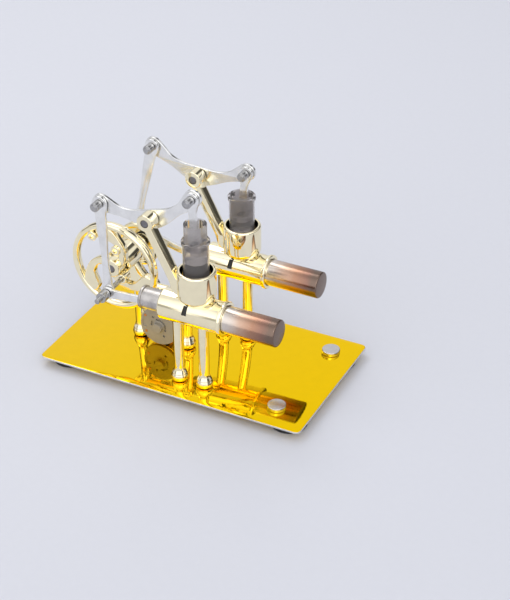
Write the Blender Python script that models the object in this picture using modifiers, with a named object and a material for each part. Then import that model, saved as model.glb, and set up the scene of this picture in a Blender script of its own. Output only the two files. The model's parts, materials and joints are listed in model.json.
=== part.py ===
"""Two-cylinder Stirling engine model: two hot-air engines side by side on a plate, one shared crankshaft.

Metres, +Z up. X runs along the plate towards the hot ends, the front engine is at -Y.
"""

from math import acos, atan2, cos, hypot, pi, radians, sin, sqrt

import bmesh
import bpy
from mathutils import Matrix, Vector

MM = 0.001
GAP = 0.3 * MM

# Plate and feet
PLATE_LENGTH = 160 * MM
PLATE_WIDTH = 90 * MM
PLATE_THICKNESS = 1.2 * MM
PLATE_CORNER = 3 * MM
FOOT_RADIUS = 10 * MM
FOOT_HEIGHT = 5.2 * MM
FOOT_INSET = (12 * MM, 13.6 * MM)
PLATE_TOP = FOOT_HEIGHT + PLATE_THICKNESS
MAGNET_RADIUS = 5 * MM
MAGNET_HEIGHT = 2.4 * MM
MAGNETS = {"magnet_front": (60 * MM, -30 * MM), "magnet_back": (64.5 * MM, 30 * MM)}

# Engines: their Y, and the crank pin's angle about the shaft at rest
ENGINE_Y = {"front": -29.3 * MM, "back": 22.8 * MM}
CRANK_ANGLE = {"front": radians(-43.5), "back": radians(136.5)}
BORE_Z = PLATE_TOP + 47.5 * MM
TUBE_RADIUS = 8.8 * MM
TUBE_LEFT = -7.2 * MM
FLANGE_RADIUS = 9.6 * MM
FLANGE_LEFT = 28.4 * MM
TUBE_RIGHT = 30.5 * MM
CUP_X = 13 * MM
CUP_RADIUS = 10.5 * MM
CUP_BORE = 8.9 * MM
CUP_FLOOR = PLATE_TOP + 58 * MM
CUP_TOP = PLATE_TOP + 73.4 * MM
LEG_X = (0.8 * MM, 16.2 * MM)
LEG_RADIUS = 2.95 * MM
BELL_RADIUS = 4.75 * MM

# Rocker pivot, and the arm that carries its boss
PIVOT = (-13.5 * MM, PLATE_TOP + 97 * MM)
BOSS_RADIUS = 4.7 * MM
BOSS_FRONT = -6.2 * MM
BOSS_BACK = 0.8 * MM
PIVOT_PIN_RADIUS = 2.05 * MM
ARM_FOOT = (4.5 * MM, PLATE_TOP + 62 * MM)
ARM_WIDTH = 4.8 * MM
ARM_BACK = -0.2 * MM

# Rocker beam and links; each pair is a layer's front and back, from the engine's own Y
BEAM_ARM = 30.4 * MM
BEAM_SPREAD = radians(141.6)
BEAM_LAYER = (1.1 * MM, 2.7 * MM)
LINK_LAYER = (-1.0 * MM, 0.7 * MM)
DISPLACER_LINK_LAYER = (-3.0 * MM, -1.4 * MM)
EYE_HOLE = 1.85 * MM
STUD_RADIUS = 1.6 * MM
NUT_RADIUS = 2.5 * MM
NUT_LENGTH = 4.6 * MM
CONNECTING_LINK = 53.9 * MM
PISTON_LINK = 24 * MM
DISPLACER_LINK = 34.2 * MM

# Cold cylinder, crosshead, displacer and hot cap, along X
COLD_LEFT = -20 * MM
COLD_RIGHT = 2.2 * MM
COLD_RADIUS = 5.95 * MM
COLD_BORE = 5.2 * MM
COLD_RIM = 6.6 * MM
GLAND_LEFT = 2.5 * MM
GLAND_RIGHT = 8 * MM
GLAND_RADIUS = 1.6 * MM
PORT_RADIUS = 2 * MM
ROD_RADIUS = 1.2 * MM
CROSSHEAD_PIN_RADIUS = 1.0 * MM
HEAD_START = 2.6 * MM
HEAD_END = 6.4 * MM
DISPLACER_RADIUS = 6.5 * MM
DISPLACER_LENGTH = 34 * MM
DISPLACER_START = 30.4 * MM
CAP_RADIUS = 7.45 * MM
CAP_WALL = 0.5 * MM
CAP_END = 61 * MM
CAP_START = 9 * MM
HOUSING_BORE = CAP_RADIUS + GAP

# Power cylinder and piston, along Z
GLASS_RADIUS = 7.0 * MM
GLASS_BORE = 6.4 * MM
GLASS_RIM = 7.6 * MM
GLASS_TOP = PLATE_TOP + 91.3 * MM
GLASS_RIM_HEIGHT = 2.2 * MM
PISTON_RADIUS = 6.1 * MM
PISTON_BORE = 5.0 * MM
PISTON_ABOVE_PIN = 10.3 * MM
PISTON_BELOW_PIN = 11.5 * MM
PISTON_FLOOR = 4.5 * MM
WRIST_RADIUS = 1.0 * MM
WRIST_REACH = 3.6 * MM

# Crankshaft and all that turns with it
SHAFT = (-47.4 * MM, PLATE_TOP + 50.4 * MM)
SHAFT_RADIUS = 2.2 * MM
CRANK_RADIUS = 8 * MM
CRANK_PIN_RADIUS = 1.4 * MM
SHAFT_CLEARANCE = 0.2 * MM
WHEEL_RADIUS = 26.6 * MM
WHEEL_INNER = 22.6 * MM
WHEEL_FRONT = -15.2 * MM
WHEEL_WIDTH = 5.4 * MM
HUB_RADIUS = 5.2 * MM
HUB_FRONT = -17 * MM
HUB_BACK = -9.4 * MM
WHEEL_LIP = 0.7 * MM
WHEEL_BOSS_RADIUS = 2.8 * MM
WHEEL_BOSS_HOLE = 1.5 * MM
WHEEL_BOSSES = ((20.8 * MM, radians(126)), (11.4 * MM, radians(78)))
CRANK_BOSS_RADIUS = 2.9 * MM
CRANK_PIN_SEAT = HUB_FRONT + 4.2 * MM
SPOKES = 3
SPOKE_START = radians(158)
SPOKE_SWEEP = radians(68)
SPOKE_FOOT = 4.4 * MM
DISC_RADIUS = 13 * MM
DISC_FRONT = 12 * MM
DISC_BACK = 15.8 * MM
PULLEY_Y = 8 * MM
PULLEY_WIDTH = 2.6 * MM
CRANK_PULLEY = 4 * MM
GENERATOR_PULLEY = 2.5 * MM
BELT_RADIUS = 0.5 * MM

# Shaft stand and generator
STAND_BOSS = 7.4 * MM
STAND_FRONT = -9.0 * MM
STAND_BACK = 5.2 * MM
STAND_LEGS = (-40.3 * MM, -10.4 * MM)
STAND_BAR_RADIUS = 3.6 * MM
STAND_BAR_REACH = 3.4 * MM
BRACE_FEET = (STAND_LEGS[0], -33 * MM)
STAND_BAR_Z = PLATE_TOP + 33 * MM
BEARING_RADIUS = 5.4 * MM
GENERATOR = (-25.35 * MM, PLATE_TOP + 12.2 * MM)
GENERATOR_RADIUS = 11.7 * MM
GENERATOR_FRONT = -6 * MM
GENERATOR_BACK = 6 * MM
CAP_THICKNESS = 1.6 * MM
CAP_BOSS_RADIUS = 2.9 * MM
CAP_BOSS_HEIGHT = 2.6 * MM
CAP_HOLES = ((6.45 * MM, radians(121)), (6.45 * MM, radians(-59)))
CAP_HOLE_RADIUS = 0.75 * MM
GENERATOR_SHAFT_RADIUS = 1.0 * MM

COLOURS = {
    "plate_gold": ((0.95, 0.66, 0.05), 1.0, 0.06),
    "pale_gold": ((0.93, 0.78, 0.42), 1.0, 0.08),
    "rubber": ((0.02, 0.02, 0.022), 0.0, 0.7),
    "nickel": ((0.75, 0.75, 0.76), 1.0, 0.15),
    "steel": ((0.62, 0.63, 0.65), 1.0, 0.2),
    "dark_steel": ((0.30, 0.29, 0.30), 1.0, 0.3),
    "hot_steel": ((0.62, 0.47, 0.40), 1.0, 0.25),
    "smoky_glass": ((0.30, 0.28, 0.29), 0.0, 0.15),
    "frosted_grey": ((0.55, 0.54, 0.56), 0.0, 0.35),
    "graphite": ((0.16, 0.15, 0.15), 0.0, 0.3),
    "beige_plastic": ((0.62, 0.54, 0.42), 0.0, 0.45),
}


def clear_scene():
    for old in list(bpy.data.objects):
        bpy.data.objects.remove(old, do_unlink=True)


def new_collection(name):
    made = bpy.data.collections.new(name)
    bpy.context.scene.collection.children.link(made)
    return made


def material(name):
    found = bpy.data.materials.get(name)
    if found:
        return found
    colour, metallic, roughness = COLOURS[name]
    made = bpy.data.materials.new(name)
    made.use_nodes = True
    shader = made.node_tree.nodes["Principled BSDF"]
    shader.inputs["Base Color"].default_value = (*colour, 1)
    shader.inputs["Metallic"].default_value = metallic
    shader.inputs["Roughness"].default_value = roughness
    made.diffuse_color = (*colour, 1)
    return made


def put(name, data, finish, location=(0, 0, 0), rotation=(0, 0, 0), into=None):
    made = bpy.data.objects.new(name, data)
    made.location = location
    made.rotation_euler = rotation
    (into or PARTS).objects.link(made)
    data.materials.append(material(finish))
    return made


def as_cutter(piece):
    PARTS.objects.unlink(piece)
    CUTTERS.objects.link(piece)
    piece.hide_render = True
    piece.display_type = "WIRE"
    return piece


def boolean(piece, other, operation):
    modifier = piece.modifiers.new(f"{operation.lower()} {other.name}", "BOOLEAN")
    modifier.operation = operation
    modifier.solver = "EXACT"
    modifier.object = as_cutter(other)


def join(piece, *others):
    for other in others:
        boolean(piece, other, "UNION")


def cut(piece, *others):
    for other in others:
        boolean(piece, other, "DIFFERENCE")


AXIS_TURN = {"X": (0, pi / 2, 0), "Y": (-pi / 2, 0, 0), "Z": (0, 0, 0)}


def turned(name, profile, finish, axis, origin, closed=False, steps=28):
    """A turned shape. The profile is (radius, height along the axis), down the outer side from the top."""
    mesh = bpy.data.meshes.new(name)
    edges = [(i, i + 1) for i in range(len(profile) - 1)]
    if closed:
        edges.append((len(profile) - 1, 0))
    mesh.from_pydata([(radius, 0, height) for radius, height in profile], edges, [])
    piece = put(name, mesh, finish, origin, AXIS_TURN[axis])
    screw = piece.modifiers.new("turn", "SCREW")
    screw.steps = screw.render_steps = steps
    screw.use_merge_vertices = True
    screw.merge_threshold = 1e-6
    screw.use_smooth_shade = True
    return piece


def rod(name, radius, start, end, finish, axis, origin, chamfer=0.0, steps=20):
    profile = [(0, end), (radius - chamfer, end), (radius, end - chamfer)]
    profile += [(radius, start + chamfer), (radius - chamfer, start), (0, start)]
    if not chamfer:
        profile = [(0, end), (radius, end), (radius, start), (0, start)]
    return turned(name, profile, finish, axis, origin, steps=steps)


def tube(name, outer, inner, start, end, finish, axis, origin, steps=28):
    profile = [(outer, end), (outer, start), (inner, start), (inner, end)]
    return turned(name, profile, finish, axis, origin, closed=True, steps=steps)


def arc(centre, radius, start, end, count):
    return [
        (
            centre[0] + radius * cos(start + (end - start) * i / count),
            centre[1] + radius * sin(start + (end - start) * i / count),
        )
        for i in range(count + 1)
    ]


def circle(centre, radius, count=14):
    return arc(centre, radius, 0, 2 * pi, count)[:-1]


def smooth_between(stops, at):
    """Eased value at a place along (place, value) stops."""
    for (a, low), (b, high) in zip(stops, stops[1:]):
        if at <= b:
            t = (at - a) / (b - a)
            t = t * t * (3 - 2 * t)
            return low + (high - low) * t
    return stops[-1][1]


def strap(path, left_stops, right_stops, count=14, cap=6):
    """Outline of a flat bar with round ends: half widths on each side of a path function of 0 to 1."""
    left, right = [], []
    for i in range(count + 1):
        s = i / count
        here, ahead = path(max(s - 0.002, 0)), path(min(s + 0.002, 1))
        tangent = Vector((ahead[0] - here[0], ahead[1] - here[1])).normalized()
        normal = Vector((-tangent.y, tangent.x))
        middle = Vector(path(s))
        left.append(middle + normal * smooth_between(left_stops, s))
        right.append(middle - normal * smooth_between(right_stops, s))
    ends = []
    for s, side in ((1, left[-1]), (0, right[0])):
        centre = Vector(path(s))
        begin = side - centre
        ends.append([
            centre + Matrix.Rotation(-pi * k / cap, 2) @ begin for k in range(1, cap)
        ])
    return [tuple(p) for p in left + ends[0] + right[::-1] + ends[1]]


def straight(length, heading):
    return lambda s: (length * s * cos(heading), length * s * sin(heading))


def flat(name, loops, layer, finish, origin):
    """A flat plate in the XZ plane: outline, then holes, all relative to origin (x, y, z)."""
    data = bpy.data.curves.new(name, "CURVE")
    data.dimensions = "2D"
    data.fill_mode = "BOTH"
    data.extrude = (layer[1] - layer[0]) / 2
    for loop in loops:
        spline = data.splines.new("POLY")
        spline.points.add(len(loop) - 1)
        for point, (x, z) in zip(spline.points, loop):
            point.co = (x, z, 0, 1)
        spline.use_cyclic_u = True
    middle = (layer[0] + layer[1]) / 2
    place = (origin[0], origin[1] + middle, origin[2])
    return put(name, data, finish, place, (pi / 2, 0, 0))


def as_mesh(piece):
    """A welded mesh in place of a curve, so that it can be cut or joined."""
    bpy.context.view_layer.update()
    graph = bpy.context.evaluated_depsgraph_get()
    mesh = bpy.data.meshes.new_from_object(piece.evaluated_get(graph))
    work = bmesh.new()
    work.from_mesh(mesh)
    bmesh.ops.remove_doubles(work, verts=work.verts, dist=1e-6)
    bmesh.ops.recalc_face_normals(work, faces=work.faces)
    work.to_mesh(mesh)
    work.free()
    name, place = piece.name, piece.matrix_world.copy()
    bpy.data.objects.remove(piece, do_unlink=True)
    made = bpy.data.objects.new(name, mesh)
    made.matrix_world = place
    PARTS.objects.link(made)
    return made


def leg(name, x, y, height):
    """A round leg with a bell foot, standing a gap above the plate."""
    profile = [
        (0, height),
        (LEG_RADIUS, height),
        (LEG_RADIUS, 8.2 * MM),
        (3.4 * MM, 6.6 * MM),
        (4.25 * MM, 4.9 * MM),
        (BELL_RADIUS, 3.0 * MM),
        (BELL_RADIUS, 1.8 * MM),
        (4.2 * MM, 0.7 * MM),
        (3.6 * MM, GAP),
        (0, GAP),
    ]
    return turned(name, profile, "pale_gold", "Z", (x, y, PLATE_TOP), steps=16)


def crank_pin_at(side):
    angle = CRANK_ANGLE[side]
    return (SHAFT[0] + CRANK_RADIUS * cos(angle), SHAFT[1] + CRANK_RADIUS * sin(angle))


def beam_angle(side):
    """Direction of the beam's left arm that puts its pin one link length from the crank pin."""
    pin = crank_pin_at(side)
    across, up = pin[0] - PIVOT[0], pin[1] - PIVOT[1]
    reach = hypot(across, up)
    apex = acos((BEAM_ARM**2 + reach**2 - CONNECTING_LINK**2) / (2 * BEAM_ARM * reach))
    return atan2(up, across) - apex


def from_pivot(angle):
    return (PIVOT[0] + BEAM_ARM * cos(angle), PIVOT[1] + BEAM_ARM * sin(angle))


def build_plate():
    half_x, half_y = PLATE_LENGTH / 2, PLATE_WIDTH / 2
    outline = []
    for index, (sx, sy) in enumerate(((1, 1), (-1, 1), (-1, -1), (1, -1))):
        corner = (sx * (half_x - PLATE_CORNER), sy * (half_y - PLATE_CORNER))
        outline += arc(corner, PLATE_CORNER, index * pi / 2, (index + 1) * pi / 2, 6)
    data = bpy.data.curves.new("base_plate", "CURVE")
    data.dimensions = "2D"
    data.fill_mode = "BOTH"
    data.extrude = PLATE_THICKNESS / 2
    spline = data.splines.new("POLY")
    spline.points.add(len(outline) - 1)
    for point, (x, y) in zip(spline.points, outline):
        point.co = (x, y, 0, 1)
    spline.use_cyclic_u = True
    put("base_plate", data, "plate_gold", (0, 0, FOOT_HEIGHT + PLATE_THICKNESS / 2))
    for end_x, left_right in ((-1, "left"), (1, "right")):
        for end_y, front_back in ((-1, "front"), (1, "back")):
            place = (end_x * (half_x - FOOT_INSET[0]), end_y * (half_y - FOOT_INSET[1]), 0)
            name = f"rubber_foot_{left_right}_{front_back}"
            rod(name, FOOT_RADIUS, 0, FOOT_HEIGHT - 0.1 * MM, "rubber", "Z", place, 0.8 * MM, 24)
    for name, (x, y) in MAGNETS.items():
        bottom = PLATE_TOP + 0.1 * MM
        rod(name, MAGNET_RADIUS, 0, MAGNET_HEIGHT, "nickel", "Z", (x, y, bottom), 0.3 * MM)


def build_housing(side):
    y = ENGINE_Y[side]
    bore_line = (0, y, BORE_Z)
    tube_profile = [
        (0, TUBE_RIGHT),
        (FLANGE_RADIUS - 0.4 * MM, TUBE_RIGHT),
        (FLANGE_RADIUS, TUBE_RIGHT - 0.4 * MM),
        (FLANGE_RADIUS, FLANGE_LEFT + 0.4 * MM),
        (FLANGE_RADIUS - 0.4 * MM, FLANGE_LEFT),
        (TUBE_RADIUS, FLANGE_LEFT),
        (TUBE_RADIUS, TUBE_LEFT + 0.8 * MM),
        (TUBE_RADIUS - 0.8 * MM, TUBE_LEFT),
        (0, TUBE_LEFT),
    ]
    housing = turned(f"housing_{side}", tube_profile, "pale_gold", "X", bore_line, steps=32)
    low = BORE_Z + 5 * MM
    cup_profile = [
        (0, CUP_TOP),
        (CUP_RADIUS - 0.4 * MM, CUP_TOP),
        (CUP_RADIUS, CUP_TOP - 0.4 * MM),
        (CUP_RADIUS, PLATE_TOP + 59 * MM),
        (CUP_RADIUS - 0.6 * MM, PLATE_TOP + 57 * MM),
        (CUP_RADIUS - 2.4 * MM, PLATE_TOP + 55 * MM),
        (CUP_RADIUS - 4.4 * MM, low),
        (0, low),
    ]
    cup = turned(f"cup_form_{side}", cup_profile, "pale_gold", "Z", (CUP_X, y, 0), steps=31)
    boss_at = (PIVOT[0], y, PIVOT[1])
    boss = rod(
        f"boss_form_{side}", BOSS_RADIUS, BOSS_FRONT, BOSS_BACK, "pale_gold", "Y", boss_at,
        0.4 * MM, 20,
    )
    run = (ARM_FOOT[0] - PIVOT[0], ARM_FOOT[1] - PIVOT[1])
    length, heading = hypot(*run), atan2(run[1], run[0])
    widths = [(0, BOSS_RADIUS - 0.3 * MM), (0.32, ARM_WIDTH / 2), (0.8, ARM_WIDTH / 2)]
    widths.append((1, ARM_WIDTH / 2 + 0.8 * MM))
    outline = strap(straight(length, heading), widths, widths, 8)
    arm_layer = (BOSS_FRONT + 0.15 * MM, ARM_BACK)
    arm = as_mesh(flat(f"arm_form_{side}", [outline], arm_layer, "pale_gold", boss_at))
    legs = [
        leg(f"leg_form_{side}_{index}", x, y, BORE_Z - PLATE_TOP - 4 * MM)
        for index, x in enumerate(LEG_X)
    ]
    join(housing, cup, boss, arm, *legs)
    cup_floor = (CUP_X, y, 0)
    cut(
        housing,
        rod(
            f"cup_bore_{side}", CUP_BORE, CUP_FLOOR, CUP_TOP + MM, "steel", "Z", cup_floor, steps=27
        ),
        rod(
            f"port_{side}", PORT_RADIUS, BORE_Z, CUP_FLOOR + MM, "steel", "Z", cup_floor, steps=12
        ),
        rod(
            f"hot_bore_{side}", HOUSING_BORE, GLAND_RIGHT, TUBE_RIGHT + MM, "steel", "X",
            bore_line, steps=28,
        ),
        rod(
            f"gland_{side}", GLAND_RADIUS, 0, GLAND_RIGHT + MM, "steel", "X", bore_line, steps=12
        ),
        rod(
            f"cold_bore_{side}", COLD_RADIUS + GAP, TUBE_LEFT - MM, GLAND_LEFT, "steel", "X",
            bore_line, steps=28,
        ),
        rod(
            f"pivot_bore_{side}", PIVOT_PIN_RADIUS + 0.25 * MM, BOSS_FRONT - MM, BOSS_BACK + MM,
            "steel", "Y", boss_at, steps=16,
        ),
    )


def build_cylinders(side):
    y = ENGINE_Y[side]
    bore_line = (0, y, BORE_Z)
    cold_profile = [
        (COLD_RADIUS, COLD_RIGHT),
        (COLD_RADIUS, COLD_LEFT + 1.6 * MM),
        (COLD_RIM, COLD_LEFT + 1.4 * MM),
        (COLD_RIM, COLD_LEFT + 0.2 * MM),
        (COLD_RIM - 0.2 * MM, COLD_LEFT),
        (COLD_BORE, COLD_LEFT),
        (COLD_BORE, COLD_RIGHT),
    ]
    turned(f"cold_cylinder_{side}", cold_profile, "frosted_grey", "X", bore_line, True)
    round_end = CAP_RADIUS - 0.8 * MM
    cap_profile = [
        (0, CAP_END),
        (round_end, CAP_END),
        (CAP_RADIUS - 0.2 * MM, CAP_END - 0.3 * MM),
        (CAP_RADIUS, CAP_END - 0.9 * MM),
        (CAP_RADIUS, CAP_START),
        (CAP_RADIUS - CAP_WALL, CAP_START),
        (CAP_RADIUS - CAP_WALL, CAP_END - 0.8 * MM),
        (0, CAP_END - 0.8 * MM),
    ]
    turned(f"hot_cap_{side}", cap_profile, "hot_steel", "X", bore_line)
    rim_low = GLASS_TOP - GLASS_RIM_HEIGHT
    glass_profile = [
        (GLASS_RIM - 0.3 * MM, GLASS_TOP),
        (GLASS_RIM, GLASS_TOP - 0.3 * MM),
        (GLASS_RIM, rim_low + 0.3 * MM),
        (GLASS_RADIUS, rim_low),
        (GLASS_RADIUS, CUP_FLOOR + GAP),
        (GLASS_BORE, CUP_FLOOR + GAP),
        (GLASS_BORE, GLASS_TOP),
    ]
    turned(f"power_cylinder_{side}", glass_profile, "smoky_glass", "Z", (CUP_X, y, 0), True)


def sleeve_pin(name, place, radius, sleeve, shank, finish="steel"):
    """A pin with a round sleeve fixed on it; sleeve and shank are front and back along Y."""
    start, end = shank
    chamfer = 0.3 * MM
    profile = [(0, end), (STUD_RADIUS - chamfer, end), (STUD_RADIUS, end - chamfer)]
    if end > sleeve[1]:
        profile += [(STUD_RADIUS, sleeve[1])]
    profile += [
        (radius - chamfer, sleeve[1]),
        (radius, sleeve[1] - chamfer),
        (radius, sleeve[0] + chamfer),
        (radius - chamfer, sleeve[0]),
        (STUD_RADIUS, sleeve[0]),
        (STUD_RADIUS, start + chamfer),
        (STUD_RADIUS - chamfer, start),
        (0, start),
    ]
    return turned(name, profile, finish, "Y", place, steps=14)


def build_rocker(side):
    y = ENGINE_Y[side]
    left_angle = beam_angle(side)
    right_angle = left_angle - BEAM_SPREAD
    left_end = (BEAM_ARM * cos(left_angle), BEAM_ARM * sin(left_angle))
    right_end = (BEAM_ARM * cos(right_angle), BEAM_ARM * sin(right_angle))

    def bow(s):
        """Quadratic curve through the left eye, the pivot and the right eye."""
        return tuple(
            left_end[k] * (1 - s) * (1 - 2 * s) + right_end[k] * s * (2 * s - 1) for k in (0, 1)
        )

    eye, waist = 4.8 * MM, 2.8 * MM
    upper = [(0, eye), (0.2, waist), (0.5, 4.6 * MM), (0.8, waist), (1, eye)]
    lower = [(0, eye), (0.2, waist), (0.5, 6.2 * MM), (0.8, waist), (1, eye)]
    holes = [circle(left_end, EYE_HOLE), circle(right_end, EYE_HOLE)]
    holes.append(circle((0, 0), PIVOT_PIN_RADIUS + 0.2 * MM))
    pivot = (PIVOT[0], y, PIVOT[1])
    flat(f"rocker_beam_{side}", [strap(bow, upper, lower, 20), *holes], BEAM_LAYER, "steel", pivot)
    rod(
        f"pivot_pin_{side}", PIVOT_PIN_RADIUS, BOSS_FRONT, BEAM_LAYER[1] + 0.6 * MM, "dark_steel",
        "Y", pivot, steps=16,
    )
    sleeve_back = LINK_LAYER[0] - GAP
    sleeve = (sleeve_back - NUT_LENGTH, sleeve_back)
    for end, angle in (("left", left_angle), ("right", right_angle)):
        at = from_pivot(angle)
        shank = (sleeve[0] - 0.5 * MM, BEAM_LAYER[1] + 0.6 * MM)
        sleeve_pin(f"beam_pin_{end}_{side}", (at[0], y, at[1]), NUT_RADIUS, sleeve, shank)


def build_connecting_link(side):
    y = ENGINE_Y[side]
    top, pin = from_pivot(beam_angle(side)), crank_pin_at(side)
    heading = atan2(pin[1] - top[1], pin[0] - top[0])
    widths = [(0, 4.3 * MM), (0.16, 3.1 * MM), (0.66, 1.85 * MM), (0.9, 2.6 * MM), (1, 3.4 * MM)]
    path = straight(CONNECTING_LINK, heading)
    loops = [strap(path, widths, widths), circle((0, 0), EYE_HOLE), circle(path(1), EYE_HOLE)]
    flat(f"connecting_link_{side}", loops, LINK_LAYER, "steel", (top[0], y, top[1]))


def build_crank_nut(side):
    """The sleeve and threaded tip outside the links: in front of the front engine, behind the back one."""
    pin = crank_pin_at(side)
    place = (pin[0], ENGINE_Y[side], pin[1])
    if side == "front":
        near = DISPLACER_LINK_LAYER[0] - GAP
        sleeve = (near - 5.2 * MM, near)
        shank = (-12.6 * MM, DISPLACER_LINK_LAYER[1] - 0.2 * MM)
    else:
        near = LINK_LAYER[1] + GAP
        sleeve = (near, near + 5.2 * MM)
        shank = (LINK_LAYER[0] + 0.2 * MM, near + 9.6 * MM)
    sleeve_pin(f"crank_nut_{side}", place, 3 * MM, sleeve, shank)


def wrist_at(side):
    top = from_pivot(beam_angle(side) - BEAM_SPREAD)
    return (CUP_X, top[1] - sqrt(PISTON_LINK**2 - (top[0] - CUP_X) ** 2))


def build_piston(side):
    y = ENGINE_Y[side]
    top, wrist = from_pivot(beam_angle(side) - BEAM_SPREAD), wrist_at(side)
    heading = atan2(wrist[1] - top[1], wrist[0] - top[0])
    widths = [(0, 4.0 * MM), (0.35, 2.1 * MM), (0.8, 2.3 * MM), (1, 2.6 * MM)]
    path = straight(PISTON_LINK, heading)
    loops = [strap(path, widths, widths), circle((0, 0), EYE_HOLE)]
    loops.append(circle(path(1), WRIST_RADIUS + 0.2 * MM, 10))
    flat(f"piston_link_{side}", loops, LINK_LAYER, "steel", (top[0], y, top[1]))
    place = (wrist[0], y, wrist[1])
    name = f"wrist_pin_{side}"
    rod(name, WRIST_RADIUS, -WRIST_REACH, WRIST_REACH, "dark_steel", "Y", place, steps=10)
    profile = [
        (PISTON_RADIUS - 0.2 * MM, PISTON_ABOVE_PIN),
        (PISTON_RADIUS, PISTON_ABOVE_PIN - 0.2 * MM),
        (PISTON_RADIUS, -PISTON_BELOW_PIN + 0.3 * MM),
        (PISTON_RADIUS - 0.3 * MM, -PISTON_BELOW_PIN),
        (0, -PISTON_BELOW_PIN),
        (0, -PISTON_FLOOR),
        (PISTON_BORE, -PISTON_FLOOR),
        (PISTON_BORE, PISTON_ABOVE_PIN),
    ]
    turned(f"piston_{side}", profile, "graphite", "Z", place, True)


def crosshead_x(side):
    pin = crank_pin_at(side)
    return pin[0] + sqrt(DISPLACER_LINK**2 - (BORE_Z - pin[1]) ** 2)


def build_displacer(side):
    y = ENGINE_Y[side]
    pin, start = crank_pin_at(side), crosshead_x(side)
    place = (start, y, BORE_Z)
    heading = atan2(BORE_Z - pin[1], start - pin[0]) + pi
    widths = [(0, 1.9 * MM), (0.25, 2.1 * MM), (0.8, 2.4 * MM), (1, 3.5 * MM)]
    path = straight(DISPLACER_LINK, heading)
    loops = [strap(path, widths, widths), circle(path(1), EYE_HOLE)]
    loops.append(circle((0, 0), CROSSHEAD_PIN_RADIUS + 0.2 * MM, 10))
    flat(f"displacer_link_{side}", loops, DISPLACER_LINK_LAYER, "steel", place)
    tongue_layer = (DISPLACER_LINK_LAYER[1] + GAP, 1.3 * MM)
    head = rod(f"crosshead_{side}", 4.9 * MM, HEAD_START, HEAD_END, "graphite", "X", place, 0.2 * MM)
    narrow = [(0, 2.0 * MM), (1, 2.0 * MM)]
    hole = circle((0, 0), CROSSHEAD_PIN_RADIUS + 0.2 * MM, 10)
    outline = strap(straight(HEAD_START + 0.5 * MM, 0), narrow, narrow, 1)
    tongue = as_mesh(flat(f"tongue_form_{side}", [outline, hole], tongue_layer, "graphite", place))
    join(head, tongue)
    pin_span = (DISPLACER_LINK_LAYER[0] - 0.3 * MM, tongue_layer[1])
    rod(
        f"crosshead_pin_{side}", CROSSHEAD_PIN_RADIUS, pin_span[0], pin_span[1], "dark_steel", "Y",
        place, steps=10,
    )
    rod_span = (HEAD_END + GAP, DISPLACER_START - GAP)
    rod(f"displacer_rod_{side}", ROD_RADIUS, rod_span[0], rod_span[1], "steel", "X", place, steps=12)
    end = DISPLACER_START + DISPLACER_LENGTH
    rod(
        f"displacer_{side}", DISPLACER_RADIUS, DISPLACER_START, end, "frosted_grey", "X", place,
        0.5 * MM,
    )


def spoke_path(start):
    inner, outer = HUB_RADIUS - MM, WHEEL_RADIUS - SPOKE_FOOT - MM

    def path(s):
        radius = inner + (outer - inner) * s
        angle = start + SPOKE_SWEEP * s**1.3
        return (radius * cos(angle), radius * sin(angle))

    return path


def on_wheel(radius, angle):
    """A place on the wheel's face, given from the shaft's centre."""
    return (SHAFT[0] + radius * cos(angle), 0, SHAFT[1] + radius * sin(angle))


def build_flywheel():
    back = WHEEL_FRONT + WHEEL_WIDTH
    rim_profile = [
        (WHEEL_RADIUS - WHEEL_LIP, back),
        (WHEEL_RADIUS, back - WHEEL_LIP),
        (WHEEL_RADIUS, WHEEL_FRONT + WHEEL_LIP),
        (WHEEL_RADIUS - WHEEL_LIP, WHEEL_FRONT),
        (WHEEL_INNER + WHEEL_LIP, WHEEL_FRONT),
        (WHEEL_INNER, WHEEL_FRONT + WHEEL_LIP),
        (WHEEL_INNER, back - WHEEL_LIP),
        (WHEEL_INNER + WHEEL_LIP, back),
    ]
    centre = (SHAFT[0], 0, SHAFT[1])
    wheel = turned("flywheel", rim_profile, "pale_gold", "Y", centre, True, 48)
    hub = rod("hub_form", HUB_RADIUS, HUB_FRONT, HUB_BACK, "pale_gold", "Y", centre, 0.4 * MM, 24)
    widths = [(0, 2.8 * MM), (0.3, 2.1 * MM), (0.65, 2.3 * MM), (1, SPOKE_FOOT)]
    layer = (WHEEL_FRONT + 0.5 * MM, back - 0.5 * MM)
    spokes = []
    for index in range(SPOKES):
        path = spoke_path(SPOKE_START + index * 2 * pi / SPOKES)
        outline = strap(path, widths, widths, 8, 4)
        spokes.append(as_mesh(flat(f"spoke_form_{index}", [outline], layer, "pale_gold", centre)))
    bosses, holes = [], []
    boss_front = WHEEL_FRONT - 0.6 * MM
    for index, (radius, angle) in enumerate(WHEEL_BOSSES):
        place = on_wheel(radius, angle)
        name = f"wheel_boss_form_{index}"
        bosses.append(
            rod(name, WHEEL_BOSS_RADIUS, boss_front, back - MM, "pale_gold", "Y", place, steps=15)
        )
        name = f"wheel_boss_hole_{index}"
        hole_end = WHEEL_FRONT + 1.6 * MM
        holes.append(
            rod(name, WHEEL_BOSS_HOLE, boss_front - MM, hole_end, "steel", "Y", place, steps=12)
        )
    pin = crank_pin_at("front")
    pin_place = (pin[0], 0, pin[1])
    crank_boss = rod(
        "crank_boss_form", CRANK_BOSS_RADIUS, WHEEL_FRONT - 1.4 * MM, HUB_BACK - MM, "pale_gold",
        "Y", pin_place, steps=17,
    )
    join(wheel, hub, *spokes, *bosses, crank_boss)
    bore_radius = SHAFT_RADIUS + SHAFT_CLEARANCE
    bore = rod(
        "shaft_bore", bore_radius, HUB_FRONT - MM, HUB_BACK + MM, "steel", "Y", centre, steps=16
    )
    pin_hole = rod(
        "crank_pin_hole", CRANK_PIN_RADIUS + 0.2 * MM, HUB_FRONT - MM, CRANK_PIN_SEAT + GAP,
        "steel", "Y", pin_place, steps=14,
    )
    cut(wheel, bore, *holes, pin_hole)


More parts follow.
